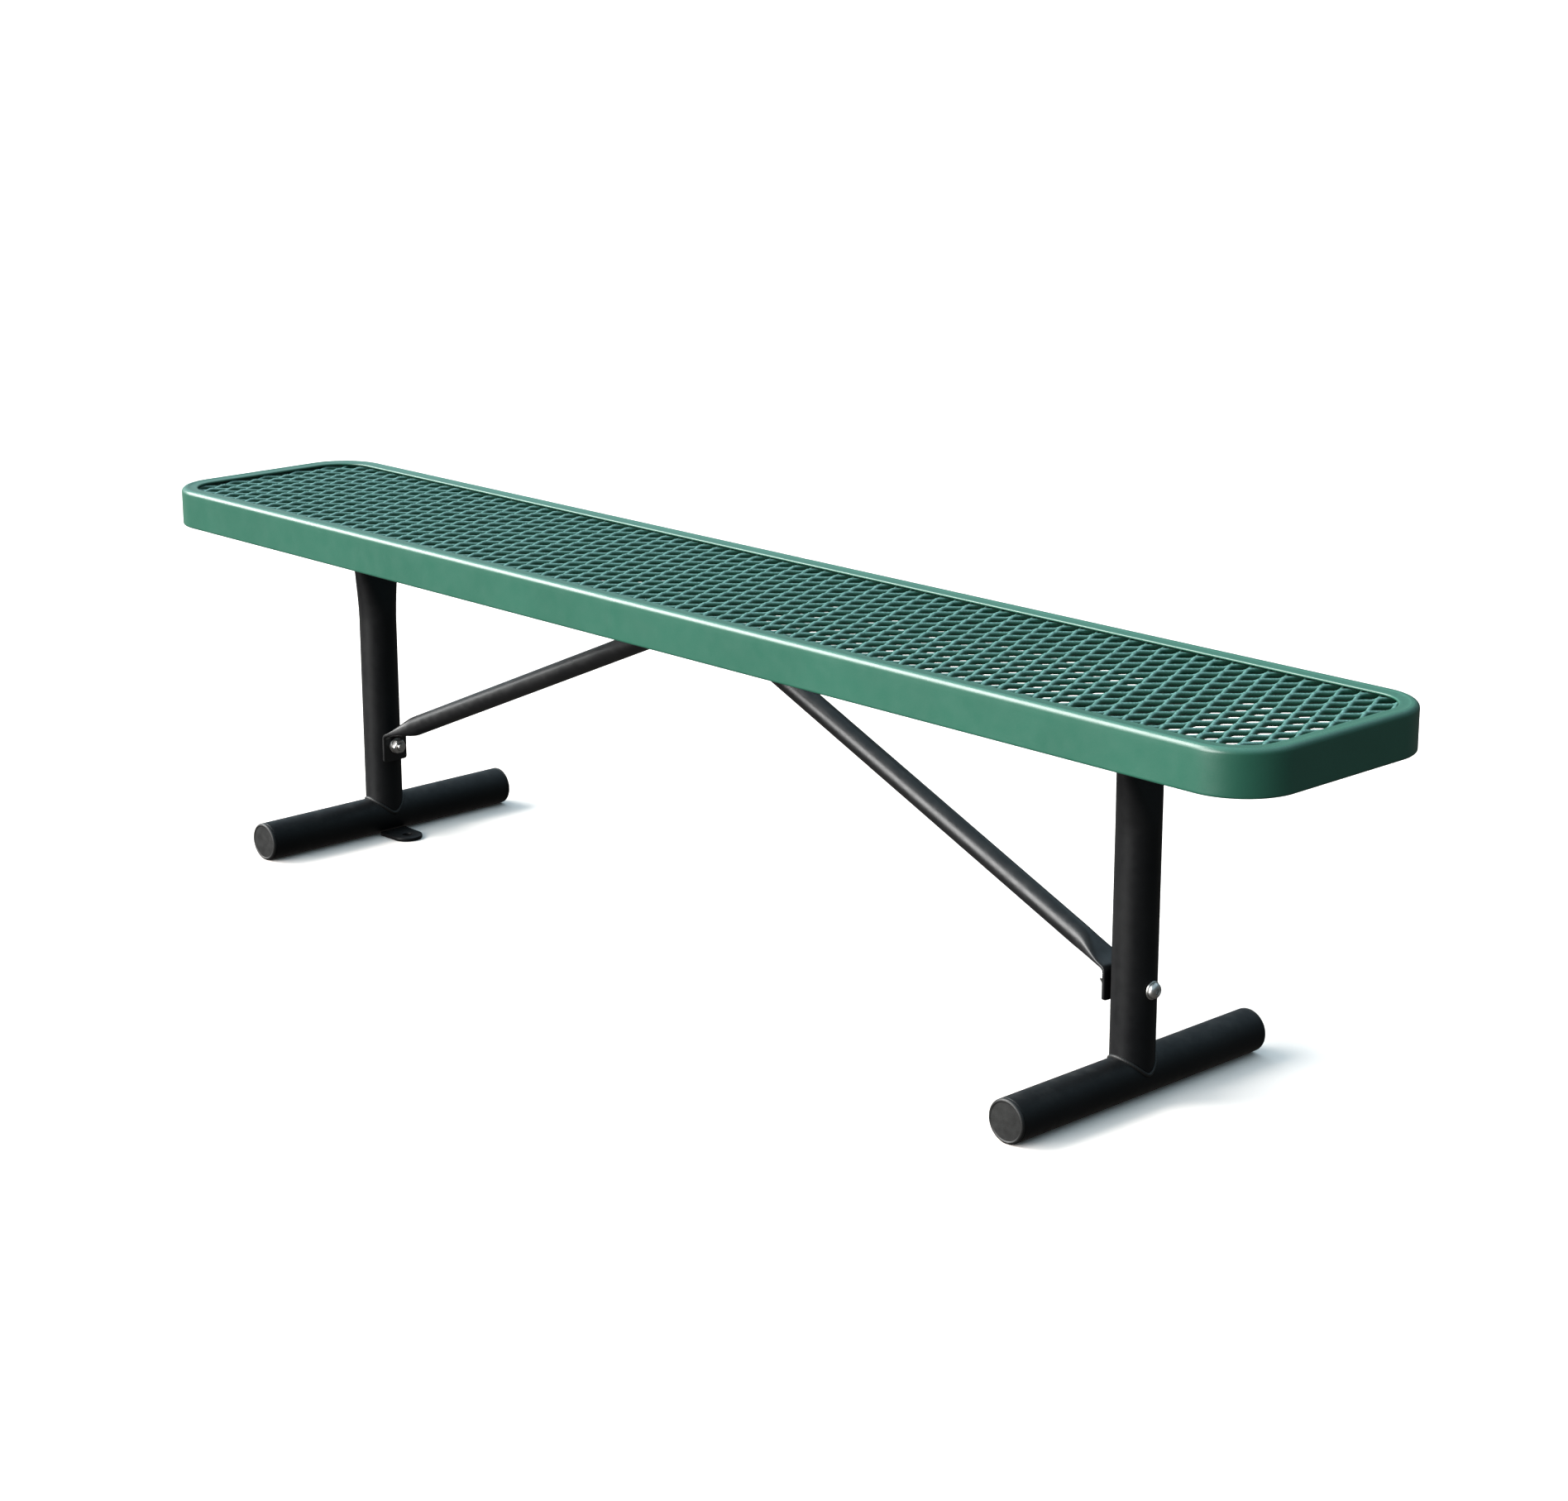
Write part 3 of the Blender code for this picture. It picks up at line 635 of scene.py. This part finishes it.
def bevelled(name, points, faces, width, material, stands_for):
    """A flat-sided piece with its edges rounded by paint."""
    mesh = bpy.data.meshes.new(name)
    mesh.from_pydata([tuple(point) for point in points], [], faces)
    shape = bmesh.new()
    shape.from_mesh(mesh)
    bmesh.ops.recalc_face_normals(shape, faces=shape.faces)
    bmesh.ops.bevel(shape, geom=list(shape.edges), offset=width, segments=3, profile=0.5,
                    affect="EDGES", clamp_overlap=True)
    shape.to_mesh(mesh)
    shape.free()
    return finish_piece(name, mesh, material, stands_for, 50)


def make_cross_angle(side_name, side):
    node = "cross_angle_" + side_name
    low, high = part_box(node)
    inner, outer = (low.x, high.x) if side > 0 else (high.x, low.x)
    web = inner + side * ANGLE_THICKNESS
    flange = low.z + ANGLE_THICKNESS
    section = ((inner, low.z), (outer, low.z), (outer, flange), (web, flange),
               (web, high.z), (inner, high.z))
    rings = [[Vector((x, y, z)) for x, z in section] for y in (low.y, high.y)]
    points, faces = loft(rings)
    bevelled("seat_angle_" + side_name, points, faces, COATED_EDGE,
             COATING_MATERIAL, (node,))


def make_box_bar(name, node, material, width):
    low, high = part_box(node)
    corners = ((low.x, low.y), (high.x, low.y), (high.x, high.y), (low.x, high.y))
    rings = [[Vector((x, y, z)) for x, y in corners] for z in (low.z, high.z)]
    points, faces = loft(rings)
    bevelled(name, points, faces, width, material, (node,))


# ---------------------------------------------------------------- legs

def post_section(height, phase):
    """Point of the post's section at a height: round, then pressed to a slot shape of equal girth."""
    pinch = smoothstep((height - PINCH_START_HEIGHT) / (PINCH_END_HEIGHT - PINCH_START_HEIGHT))
    depth = TUBE_RADIUS + pinch * (PINCHED_HALF_DEPTH - TUBE_RADIUS)
    flat = (TUBE_RADIUS - depth) * math.pi / 2
    return stadium_point(depth, flat, phase)


def stadium_point(depth, flat, phase):
    """Point of a slot shape with round ends of radius depth, spaced evenly by a phase from 0 to 2 pi."""
    quarter = depth * math.pi / 2 + flat
    turns = phase / (math.pi / 2)
    quadrant = int(turns) % 4
    along = (turns - int(turns)) * quarter
    if quadrant in (1, 3):
        along = quarter - along
    if along <= flat:
        x, y = depth, along
    else:
        angle = (along - flat) / depth
        x, y = depth * math.cos(angle), flat + depth * math.sin(angle)
    return (x if quadrant in (0, 3) else -x), (y if quadrant in (0, 1) else -y)


def saddle_height(phase):
    """Height of the post's coped end on the round foot, blunt at the tips."""
    return TUBE_RADIUS + math.hypot(TUBE_RADIUS * math.sin(phase), COPE_TIP)


def make_post(side_name):
    node = "post_" + side_name
    low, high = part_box(node)
    centre_x = (low.x + high.x) / 2
    sides = 72
    phases = [2 * math.pi * index / sides for index in range(sides)]
    shoulder = 2 * TUBE_RADIUS + 0.012
    rings = []
    for step in range(5):
        share = step / 5
        rings.append([Vector((centre_x + TUBE_RADIUS * math.cos(a), TUBE_RADIUS * math.sin(a),
                              saddle_height(a) * (1 - share) + shoulder * share)) for a in phases])
    heights = [shoulder] + [shoulder + (PINCH_START_HEIGHT - shoulder) * step / 8 for step in range(1, 8)]
    pinch = PINCH_END_HEIGHT - PINCH_START_HEIGHT
    heights += [PINCH_START_HEIGHT + pinch * step / 24 for step in range(25)]
    heights += [high.z - 0.001]
    for height in heights:
        ring = []
        for a in phases:
            x, y = post_section(height, a)
            ring.append(Vector((centre_x + x, y, height)))
        rings.append(ring)
    ring = []
    for a in phases:
        x, y = post_section(high.z, a)
        ring.append(Vector((centre_x + x * 0.93, y * 0.987, high.z)))
    rings.append(ring)
    points, faces = loft(rings)
    add_piece("post_tube_" + side_name, points, faces, PAINT, (node,), 50)
    make_saddle_weld(side_name, centre_x)
    make_top_weld(side_name, centre_x, high.z)


def bead_rings(stations, radius, sides, ripple, ripple_count):
    """Rings of a weld bead along a closed run of (point, first axis, second axis)."""
    rings = []
    count = len(stations)
    for index, (point, first, second) in enumerate(stations):
        swell = 1 + ripple * math.sin(2 * math.pi * ripple_count * index / count)
        rings.append([point + radius * swell * (math.cos(a) * first + math.sin(a) * second)
                      for a in (2 * math.pi * step / sides for step in range(sides))])
    return rings


def make_saddle_weld(side_name, centre_x):
    """Fillet weld where the post stands on the foot."""
    stations = []
    count = 180
    for index in range(count):
        a = 2 * math.pi * index / count
        radial = Vector((math.cos(a), math.sin(a), 0))
        foot_normal = Vector((math.cos(a), 0, abs(math.sin(a)))).normalized()
        point = Vector((centre_x, 0, saddle_height(a))) + TUBE_RADIUS * radial
        outward = (radial + foot_normal).normalized()
        tangent = Vector((-math.sin(a), math.cos(a), 0))
        across = outward.cross(tangent).normalized()
        stations.append((point - WELD_SINK * outward, outward, across))
    rings = bead_rings(stations, SADDLE_BEAD_RADIUS, sides=10, ripple=0.05, ripple_count=60)
    points, faces = loft(rings, closed=True)
    add_piece("post_weld_" + side_name, points, faces, END_PAINT, (), 60)


def make_top_weld(side_name, centre_x, top):
    """Weld round the pinched top of the post, against its plate."""
    stations = []
    count = 160
    for index in range(count):
        a = 2 * math.pi * index / count
        x, y = post_section(top, a)
        next_x, next_y = post_section(top, a + 0.001)
        outward = Vector((next_y - y, x - next_x, 0)).normalized()
        stations.append((Vector((centre_x + x, y, top - WELD_SINK)), outward, Vector((0, 0, 1))))
    rings = bead_rings(stations, TOP_BEAD_RADIUS, sides=8, ripple=0.10, ripple_count=30)
    points, faces = loft(rings, closed=True)
    add_piece("post_top_weld_" + side_name, points, faces, PAINT, (), 60)


def make_foot(side_name):
    node = "foot_tube_" + side_name
    low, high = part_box(node)
    centre = Vector(((low.x + high.x) / 2, 0, TUBE_RADIUS))
    edge = 0.0006
    inner = TUBE_RADIUS - TUBE_WALL
    steps = 16
    runs = [low.y + edge]
    runs += [low.y + (high.y - low.y) * step / steps for step in range(1, steps)]
    runs += [high.y - edge]
    profile = [(TUBE_RADIUS - edge, low.y)] + [(TUBE_RADIUS, y) for y in runs]
    profile += [(TUBE_RADIUS - edge, high.y), (inner, high.y), (inner, low.y)]
    rings = turned(profile, 72, centre, Vector((0, 1, 0)))
    points, faces = loft(rings, closed=True)
    add_piece("foot_bar_" + side_name, points, faces, PAINT, (node,))
    for end_name, end in ENDS.items():
        make_cap(side_name, end_name, end)


def make_cap(side_name, end_name, end):
    """Disc welded into the end of the foot, with a ground weld ring round it."""
    node = "foot_cap_{}_{}".format(side_name, end_name)
    low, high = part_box(node)
    thickness = high.y - low.y
    seat = Vector(((low.x + high.x) / 2, low.y if end > 0 else high.y, TUBE_RADIUS))
    radius = TUBE_RADIUS
    rim = radius - CAP_EDGE_RADIUS
    profile = [(radius * 0.2, 0), (radius - 0.0006, 0), (radius, 0.0004)]
    profile += arc((rim, thickness - CAP_EDGE_RADIUS), CAP_EDGE_RADIUS, 0, 90, 6)
    profile += [(rim - 0.0006, thickness - 0.0003), (rim - 0.0012, thickness - 0.0007),
                (rim - 0.002, thickness - 0.0007), (radius * 0.55, thickness - 0.0006),
                (radius * 0.2, thickness - 0.00055)]
    rings = turned(profile, 72, seat, Vector((0, end, 0)))
    points, faces = loft(rings)
    name = "foot_disc_{}_{}".format(side_name, end_name)
    add_piece(name, points, faces, END_PAINT, (node,), 30)


def make_anchor_tab(side_name, side):
    """Round-ended lug with an anchor hole, its edges softened by paint."""
    node = "anchor_tab_" + side_name
    low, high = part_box(node)
    half_width = (high.y - low.y) / 2
    root_x, tip_x = (high.x, low.x) if side > 0 else (low.x, high.x)
    inward = 1 if tip_x > root_x else -1
    middle = Vector((tip_x - inward * half_width, 0, 0))
    reach_back = abs(middle.x - root_x)
    count = 96
    soft = TAB_EDGE
    thickness = high.z - low.z

    def edge_reach(angle):
        along = math.cos(angle)
        if along >= 0:
            return half_width
        return min(half_width / max(abs(math.sin(angle)), 1e-6), reach_back / -along)

    profile = []
    for shrink, height in ((soft, 0), (0.3 * soft, 0.3 * soft), (0, soft), (0, thickness - soft),
                           (0.3 * soft, thickness - 0.3 * soft), (soft, thickness)):
        profile.append(("edge", shrink, height))
    for shrink, height in ((-soft, thickness), (-0.3 * soft, thickness - 0.3 * soft), (0, thickness - soft),
                           (0, soft), (-0.3 * soft, 0.3 * soft), (-soft, 0)):
        profile.append(("hole", shrink, height))
    rings = []
    for kind, shrink, height in profile:
        ring = []
        for index in range(count):
            angle = 2 * math.pi * index / count
            reach = (edge_reach(angle) if kind == "edge" else TAB_HOLE_RADIUS) - shrink
            along, across = inward * reach * math.cos(angle), reach * math.sin(angle)
            ring.append(middle + Vector((along, across, height)))
        rings.append(ring)
    points, faces = loft(rings, closed=True)
    add_piece("anchor_lug_" + side_name, points, faces, PAINT, (node,), 35)


# ---------------------------------------------------------------- braces

def bend_stations(before, corner, after, steps=10):
    """Stations of the rounded bend at a corner of the brace, as (point, direction)."""
    into = (corner - before).normalized()
    out = (after - corner).normalized()
    turn = into.angle(out)
    start = corner - BRACE_BEND_RADIUS * math.tan(turn / 2) * into
    hinge = into.cross(out).normalized()
    to_centre = hinge.cross(into)
    centre = start + BRACE_BEND_RADIUS * to_centre
    stations = []
    for step in range(steps + 1):
        rotation = Matrix.Rotation(turn * step / steps, 3, hinge)
        stations.append((centre - BRACE_BEND_RADIUS * (rotation @ to_centre), rotation @ into))
    return stations


def tab_end(point, direction, half_width, sign):
    """Stations that round off the corners of a flat tab, as (point, direction, roundness, half-width)."""
    stations = []
    for step in range(7):
        angle = math.pi / 2 * step / 6
        back = BRACE_TAB_CORNER * (1 - math.sin(angle))
        narrow = BRACE_TAB_CORNER * (1 - math.cos(angle))
        stations.append((point - sign * back * direction, direction, 0.0, half_width - narrow))
    return stations


def make_brace(side_name, side):
    """Diagonal tube whose ends are pressed flat, bent upright and rounded at the corners."""
    node = "brace_" + side_name
    low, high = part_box(node)
    half_width = (high.y - low.y) / 2
    foot_x = max(abs(low.x), abs(high.x)) - BRACE_FLAT_HALF_THICKNESS
    head_x = min(abs(low.x), abs(high.x)) + BRACE_FLAT_HALF_THICKNESS
    foot = Vector((foot_x, 0, low.z))
    lower = Vector((foot_x, 0, BRACE_LOWER_BEND_HEIGHT))
    upper = Vector((head_x, 0, BRACE_UPPER_BEND_HEIGHT))
    head = Vector((head_x, 0, high.z))
    up = Vector((0, 0, 1))
    run = (upper - lower).normalized()
    lower_bend = bend_stations(foot, lower, upper)
    upper_bend = bend_stations(lower, upper, head)
    stations = tab_end(foot, up, half_width, -1)[::-1]
    stations += [(*station, 0.0, half_width) for station in lower_bend]
    taper_steps = 16
    tapers = [(step / taper_steps, smoothstep(step / taper_steps)) for step in range(1, taper_steps + 1)]
    start, finish = lower_bend[-1][0], upper_bend[0][0]
    for share, roundness in tapers:
        width = half_width + roundness * (BRACE_RADIUS - half_width)
        stations.append((start + share * BRACE_TAPER * run, run, roundness, width))
    for share, roundness in reversed(tapers):
        width = half_width + roundness * (BRACE_RADIUS - half_width)
        stations.append((finish - share * BRACE_TAPER * run, run, roundness, width))
    stations += [(*station, 0.0, half_width) for station in upper_bend]
    stations += tab_end(head, up, half_width, 1)
    across = Vector((0, 1, 0))
    sides = 48
    rings = []
    for point, direction, roundness, width in stations:
        normal = direction.cross(across)
        thick = BRACE_FLAT_HALF_THICKNESS + roundness * (BRACE_RADIUS - BRACE_FLAT_HALF_THICKNESS)
        power = FLAT_SQUARENESS + roundness * (1 - FLAT_SQUARENESS)
        ring = []
        for index in range(sides):
            angle = 2 * math.pi * index / sides
            u = math.copysign(abs(math.cos(angle)) ** power, math.cos(angle))
            v = math.copysign(abs(math.sin(angle)) ** power, math.sin(angle))
            place = point + width * u * across + thick * v * normal
            ring.append(Vector((side * place.x, place.y, place.z)))
        rings.append(ring)
    points, faces = loft(rings)
    add_piece("brace_tube_" + side_name, points, faces, BRACE_PAINT, (node,), 60)


# ---------------------------------------------------------------- fasteners

def hexagon(radius, angle):
    """Distance to the side of a hexagon whose corners are at this radius."""
    sector = math.pi / 3
    return radius * math.cos(sector / 2) / math.cos(angle % sector - sector / 2)


def node_axis(node, toward):
    """Middle of a fastener node and its faces along one axis, in the direction it points."""
    low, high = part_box(node)
    centre = (low + high) / 2
    reach = abs((high - low).dot(toward)) / 2
    return centre, reach


def make_washer(node, axis):
    centre, reach = node_axis(node, axis)
    low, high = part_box(node)
    radius = sorted((high - low) / 2)[1]
    hole = WASHER_HOLE_RADIUS
    soft = WASHER_EDGE
    profile = [(radius - soft, -reach), (radius, -reach + soft),
               (radius, reach - soft), (radius - soft, reach),
               (hole + soft, reach), (hole, reach - soft),
               (hole, -reach + soft), (hole + soft, -reach)]
    points, faces = loft(turned(profile, 64, centre, axis), closed=True)
    add_piece(node + "_steel", points, faces, STEEL, (node,), 30)


def make_nut(node, axis):
    """Hexagon nut with chamfered corners and a threaded hole."""
    centre, reach = node_axis(node, axis)
    low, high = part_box(node)
    corner = max((high - low) / 2 - abs_vector(axis) * reach)
    hole = NUT_HOLE_RADIUS
    chamfer = NUT_CHAMFER

    def reach_at(radius, angle):
        if radius > hole + 0.001:
            return min(hexagon(corner, angle), radius)
        return radius

    flat = corner * math.cos(math.pi / 6)
    profile = [(flat - 0.0002, -reach), (corner - 0.0003, -reach + chamfer * 0.6),
               (corner, -reach + chamfer), (corner, reach - chamfer),
               (corner - 0.0003, reach - chamfer * 0.6), (flat - 0.0002, reach),
               (hole + 0.0005, reach), (hole, reach - 0.0006),
               (hole, -reach + 0.0006), (hole + 0.0005, -reach)]
    points, faces = loft(turned(profile, 96, centre, axis, reach_at), closed=True)
    add_piece(node + "_steel", points, faces, STEEL, (node,), 28)


def abs_vector(vector):
    return Vector((abs(vector.x), abs(vector.y), abs(vector.z)))


def make_bolt(node, axis):
    """Button-head bolt with a hexagon socket and a threaded shank. The head points along the axis."""
    centre, reach = node_axis(node, axis)
    low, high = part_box(node)
    head_radius = max((high - low) / 2 - abs_vector(axis) * reach)
    shank = SHANK_RADIUS
    socket = SOCKET_RADIUS
    top = reach
    seat = top - HEAD_HEIGHT
    sides = 72
    profile = [(0.6 * shank, -reach, "round"), (shank - 0.0006, -reach, "round")]
    rings_per_turn = 4
    for step in range(1, THREAD_TURNS * rings_per_turn):
        profile.append((shank, -reach + THREAD_PITCH * step / rings_per_turn, "thread"))
    profile += [(shank, -reach + THREAD_PITCH * THREAD_TURNS, "round"), (shank, seat, "round"),
                (head_radius - 0.0003, seat, "round"), (head_radius, seat + 0.0004, "round")]
    steps = 9
    crown = HEAD_CROWN_RADIUS
    for step in range(1, steps + 1):
        angle = math.radians(8 + (74 - 8) * step / steps)
        profile.append((crown + (head_radius - crown) * math.cos(angle),
                        seat + 0.0004 + (HEAD_HEIGHT - 0.0006) * math.sin(angle), "round"))
    profile += [(crown * 0.93, top, "round"), (socket + 0.0002, top, "hex"),
                (socket, top - 0.0003, "hex"), (socket * 0.98, top - SOCKET_DEPTH, "hex"),
                (socket * 0.3, top - SOCKET_DEPTH - 0.0004, "hex")]
    turn = axis.to_track_quat("Z", "Y").to_matrix()
    rings = []
    for radius, height, kind in profile:
        ring = []
        for index in range(sides):
            angle = 2 * math.pi * index / sides
            spread = radius
            if kind == "hex":
                spread = hexagon(radius, angle)
            if kind == "thread":
                phase = (height / THREAD_PITCH + angle / (2 * math.pi)) % 1.0
                spread = radius - THREAD_DEPTH * (1 - abs(2 * phase - 1))
            place = Vector((spread * math.cos(angle), spread * math.sin(angle), height))
            ring.append(centre + turn @ place)
        rings.append(ring)
    points, faces = loft(rings)
    add_piece(node + "_steel", points, faces, STEEL, (node,), 32)


def make_fasteners():
    along = Vector((1, 0, 0))
    down = Vector((0, 0, -1))
    for side_name, side in SIDES.items():
        outward = side * along
        make_bolt("brace_bolt_" + side_name, outward)
        make_washer("brace_outer_washer_" + side_name, outward)
        make_washer("brace_inner_washer_" + side_name, outward)
        make_nut("brace_nut_" + side_name, -outward)
        for end_name in ENDS:
            place = "{}_{}".format(side_name, end_name)
            make_bolt("seat_bolt_" + place, down)
            make_washer("seat_washer_" + place, down)
            make_nut("seat_nut_" + place, -down)
    make_bolt("center_bolt", along)
    make_washer("center_head_washer", along)
    make_washer("center_nut_washer", along)
    make_nut("center_nut", -along)


# ---------------------------------------------------------------- studio

def make_floor():
    """Plain floor, hidden from diffuse and glossy rays so that it doesn't light the bench from below."""
    steps = 24
    points = [Vector((FLOOR_HALF_SIZE * (2 * a / steps - 1), FLOOR_HALF_SIZE * (2 * b / steps - 1), 0))
              for b in range(steps + 1) for a in range(steps + 1)]
    faces = []
    for b in range(steps):
        for a in range(steps):
            first = b * (steps + 1) + a
            faces.append((first, first + 1, first + steps + 2, first + steps + 1))
    mesh = bpy.data.meshes.new("floor")
    mesh.from_pydata([tuple(point) for point in points], [], faces)
    mesh.materials.append(make_floor_material())
    floor = bpy.data.objects.new("floor", mesh)
    bpy.context.scene.collection.objects.link(floor)
    floor.visible_diffuse = False
    floor.visible_glossy = False


def make_world():
    """Studio surroundings: bluish and bright overhead, dim lower down but brighter to the left."""
    world = bpy.data.worlds.new("studio")
    bpy.context.scene.world = world
    world.use_nodes = True
    tree = world.node_tree
    background = tree.nodes["Background"]
    place = tree.nodes.new("ShaderNodeTexCoord")
    split = tree.nodes.new("ShaderNodeSeparateXYZ")
    tree.links.new(place.outputs["Generated"], split.inputs["Vector"])
    ramp = tree.nodes.new("ShaderNodeValToRGB")
    ramp.color_ramp.elements[0].color = WORLD_GROUND
    ramp.color_ramp.elements[1].position = ZENITH_LEVEL
    ramp.color_ramp.elements[1].color = WORLD_ZENITH
    ramp.color_ramp.elements.new(HORIZON_LEVEL).color = WORLD_HORIZON
    ramp.color_ramp.elements.new(LOW_SKY_LEVEL).color = WORLD_LOW_SKY
    tree.links.new(split.outputs["Z"], ramp.inputs["Fac"])
    facing = tree.nodes.new("ShaderNodeVectorMath")
    facing.operation = "DOT_PRODUCT"
    facing.inputs[1].default_value = WORLD_BRIGHT_SIDE
    tree.links.new(place.outputs["Generated"], facing.inputs[0])
    side = tree.nodes.new("ShaderNodeMapRange")
    side.interpolation_type = "SMOOTHSTEP"
    side.inputs["From Min"].default_value = WORLD_BRIGHT_FROM
    side.inputs["From Max"].default_value = 1.0
    side.inputs["To Min"].default_value = WORLD_DIM
    side.inputs["To Max"].default_value = WORLD_BRIGHT
    tree.links.new(facing.outputs["Value"], side.inputs["Value"])
    tree.links.new(ramp.outputs["Color"], background.inputs["Color"])
    tree.links.new(side.outputs["Result"], background.inputs["Strength"])


def add_sun(name, direction, angle, strength, colour):
    """Soft parallel light that comes from a direction and reaches the whole floor evenly."""
    light = bpy.data.lights.new(name, "SUN")
    light.angle = math.radians(angle)
    light.energy = strength
    light.color = colour
    lamp = bpy.data.objects.new(name, light)
    lamp.rotation_mode = "QUATERNION"
    lamp.rotation_quaternion = Vector(direction).to_track_quat("Z", "Y")
    bpy.context.scene.collection.objects.link(lamp)


def make_camera():
    camera_data = bpy.data.cameras.new("camera")
    camera_data.lens = CAMERA_LENS
    camera_data.clip_end = 200
    camera = bpy.data.objects.new("camera", camera_data)
    bpy.context.scene.collection.objects.link(camera)
    a, e, r = CAMERA_AZIMUTH, CAMERA_ELEVATION, CAMERA_ROLL
    back = Vector((math.sin(a) * math.cos(e), -math.cos(a) * math.cos(e), math.sin(e)))
    right = (-back).cross(Vector((0, 0, 1))).normalized()
    up = right.cross(-back)
    rolled_right = math.cos(r) * right + math.sin(r) * up
    rolled_up = math.cos(r) * up - math.sin(r) * right
    turn = Matrix((rolled_right, rolled_up, back)).transposed().to_4x4()
    camera.matrix_world = Matrix.Translation(CAMERA_TARGET + CAMERA_DISTANCE * back) @ turn
    bpy.context.scene.camera = camera


make_rim()
make_expanded_metal()
make_box_bar("seat_cross_bar", "center_cross_bar", COATING_MATERIAL, COATED_EDGE)
for side_name, side in SIDES.items():
    make_cross_angle(side_name, side)
    make_box_bar("post_plate_" + side_name, "top_plate_" + side_name, PAINT, PAINTED_EDGE)
    make_post(side_name)
    make_foot(side_name)
    make_anchor_tab(side_name, side)
    make_brace(side_name, side)
make_fasteners()
make_floor()
make_world()
make_camera()
add_sun("key", **KEY_SUN)
add_sun("front", **FRONT_SUN)
bpy.context.scene.view_settings.view_transform = "Standard"
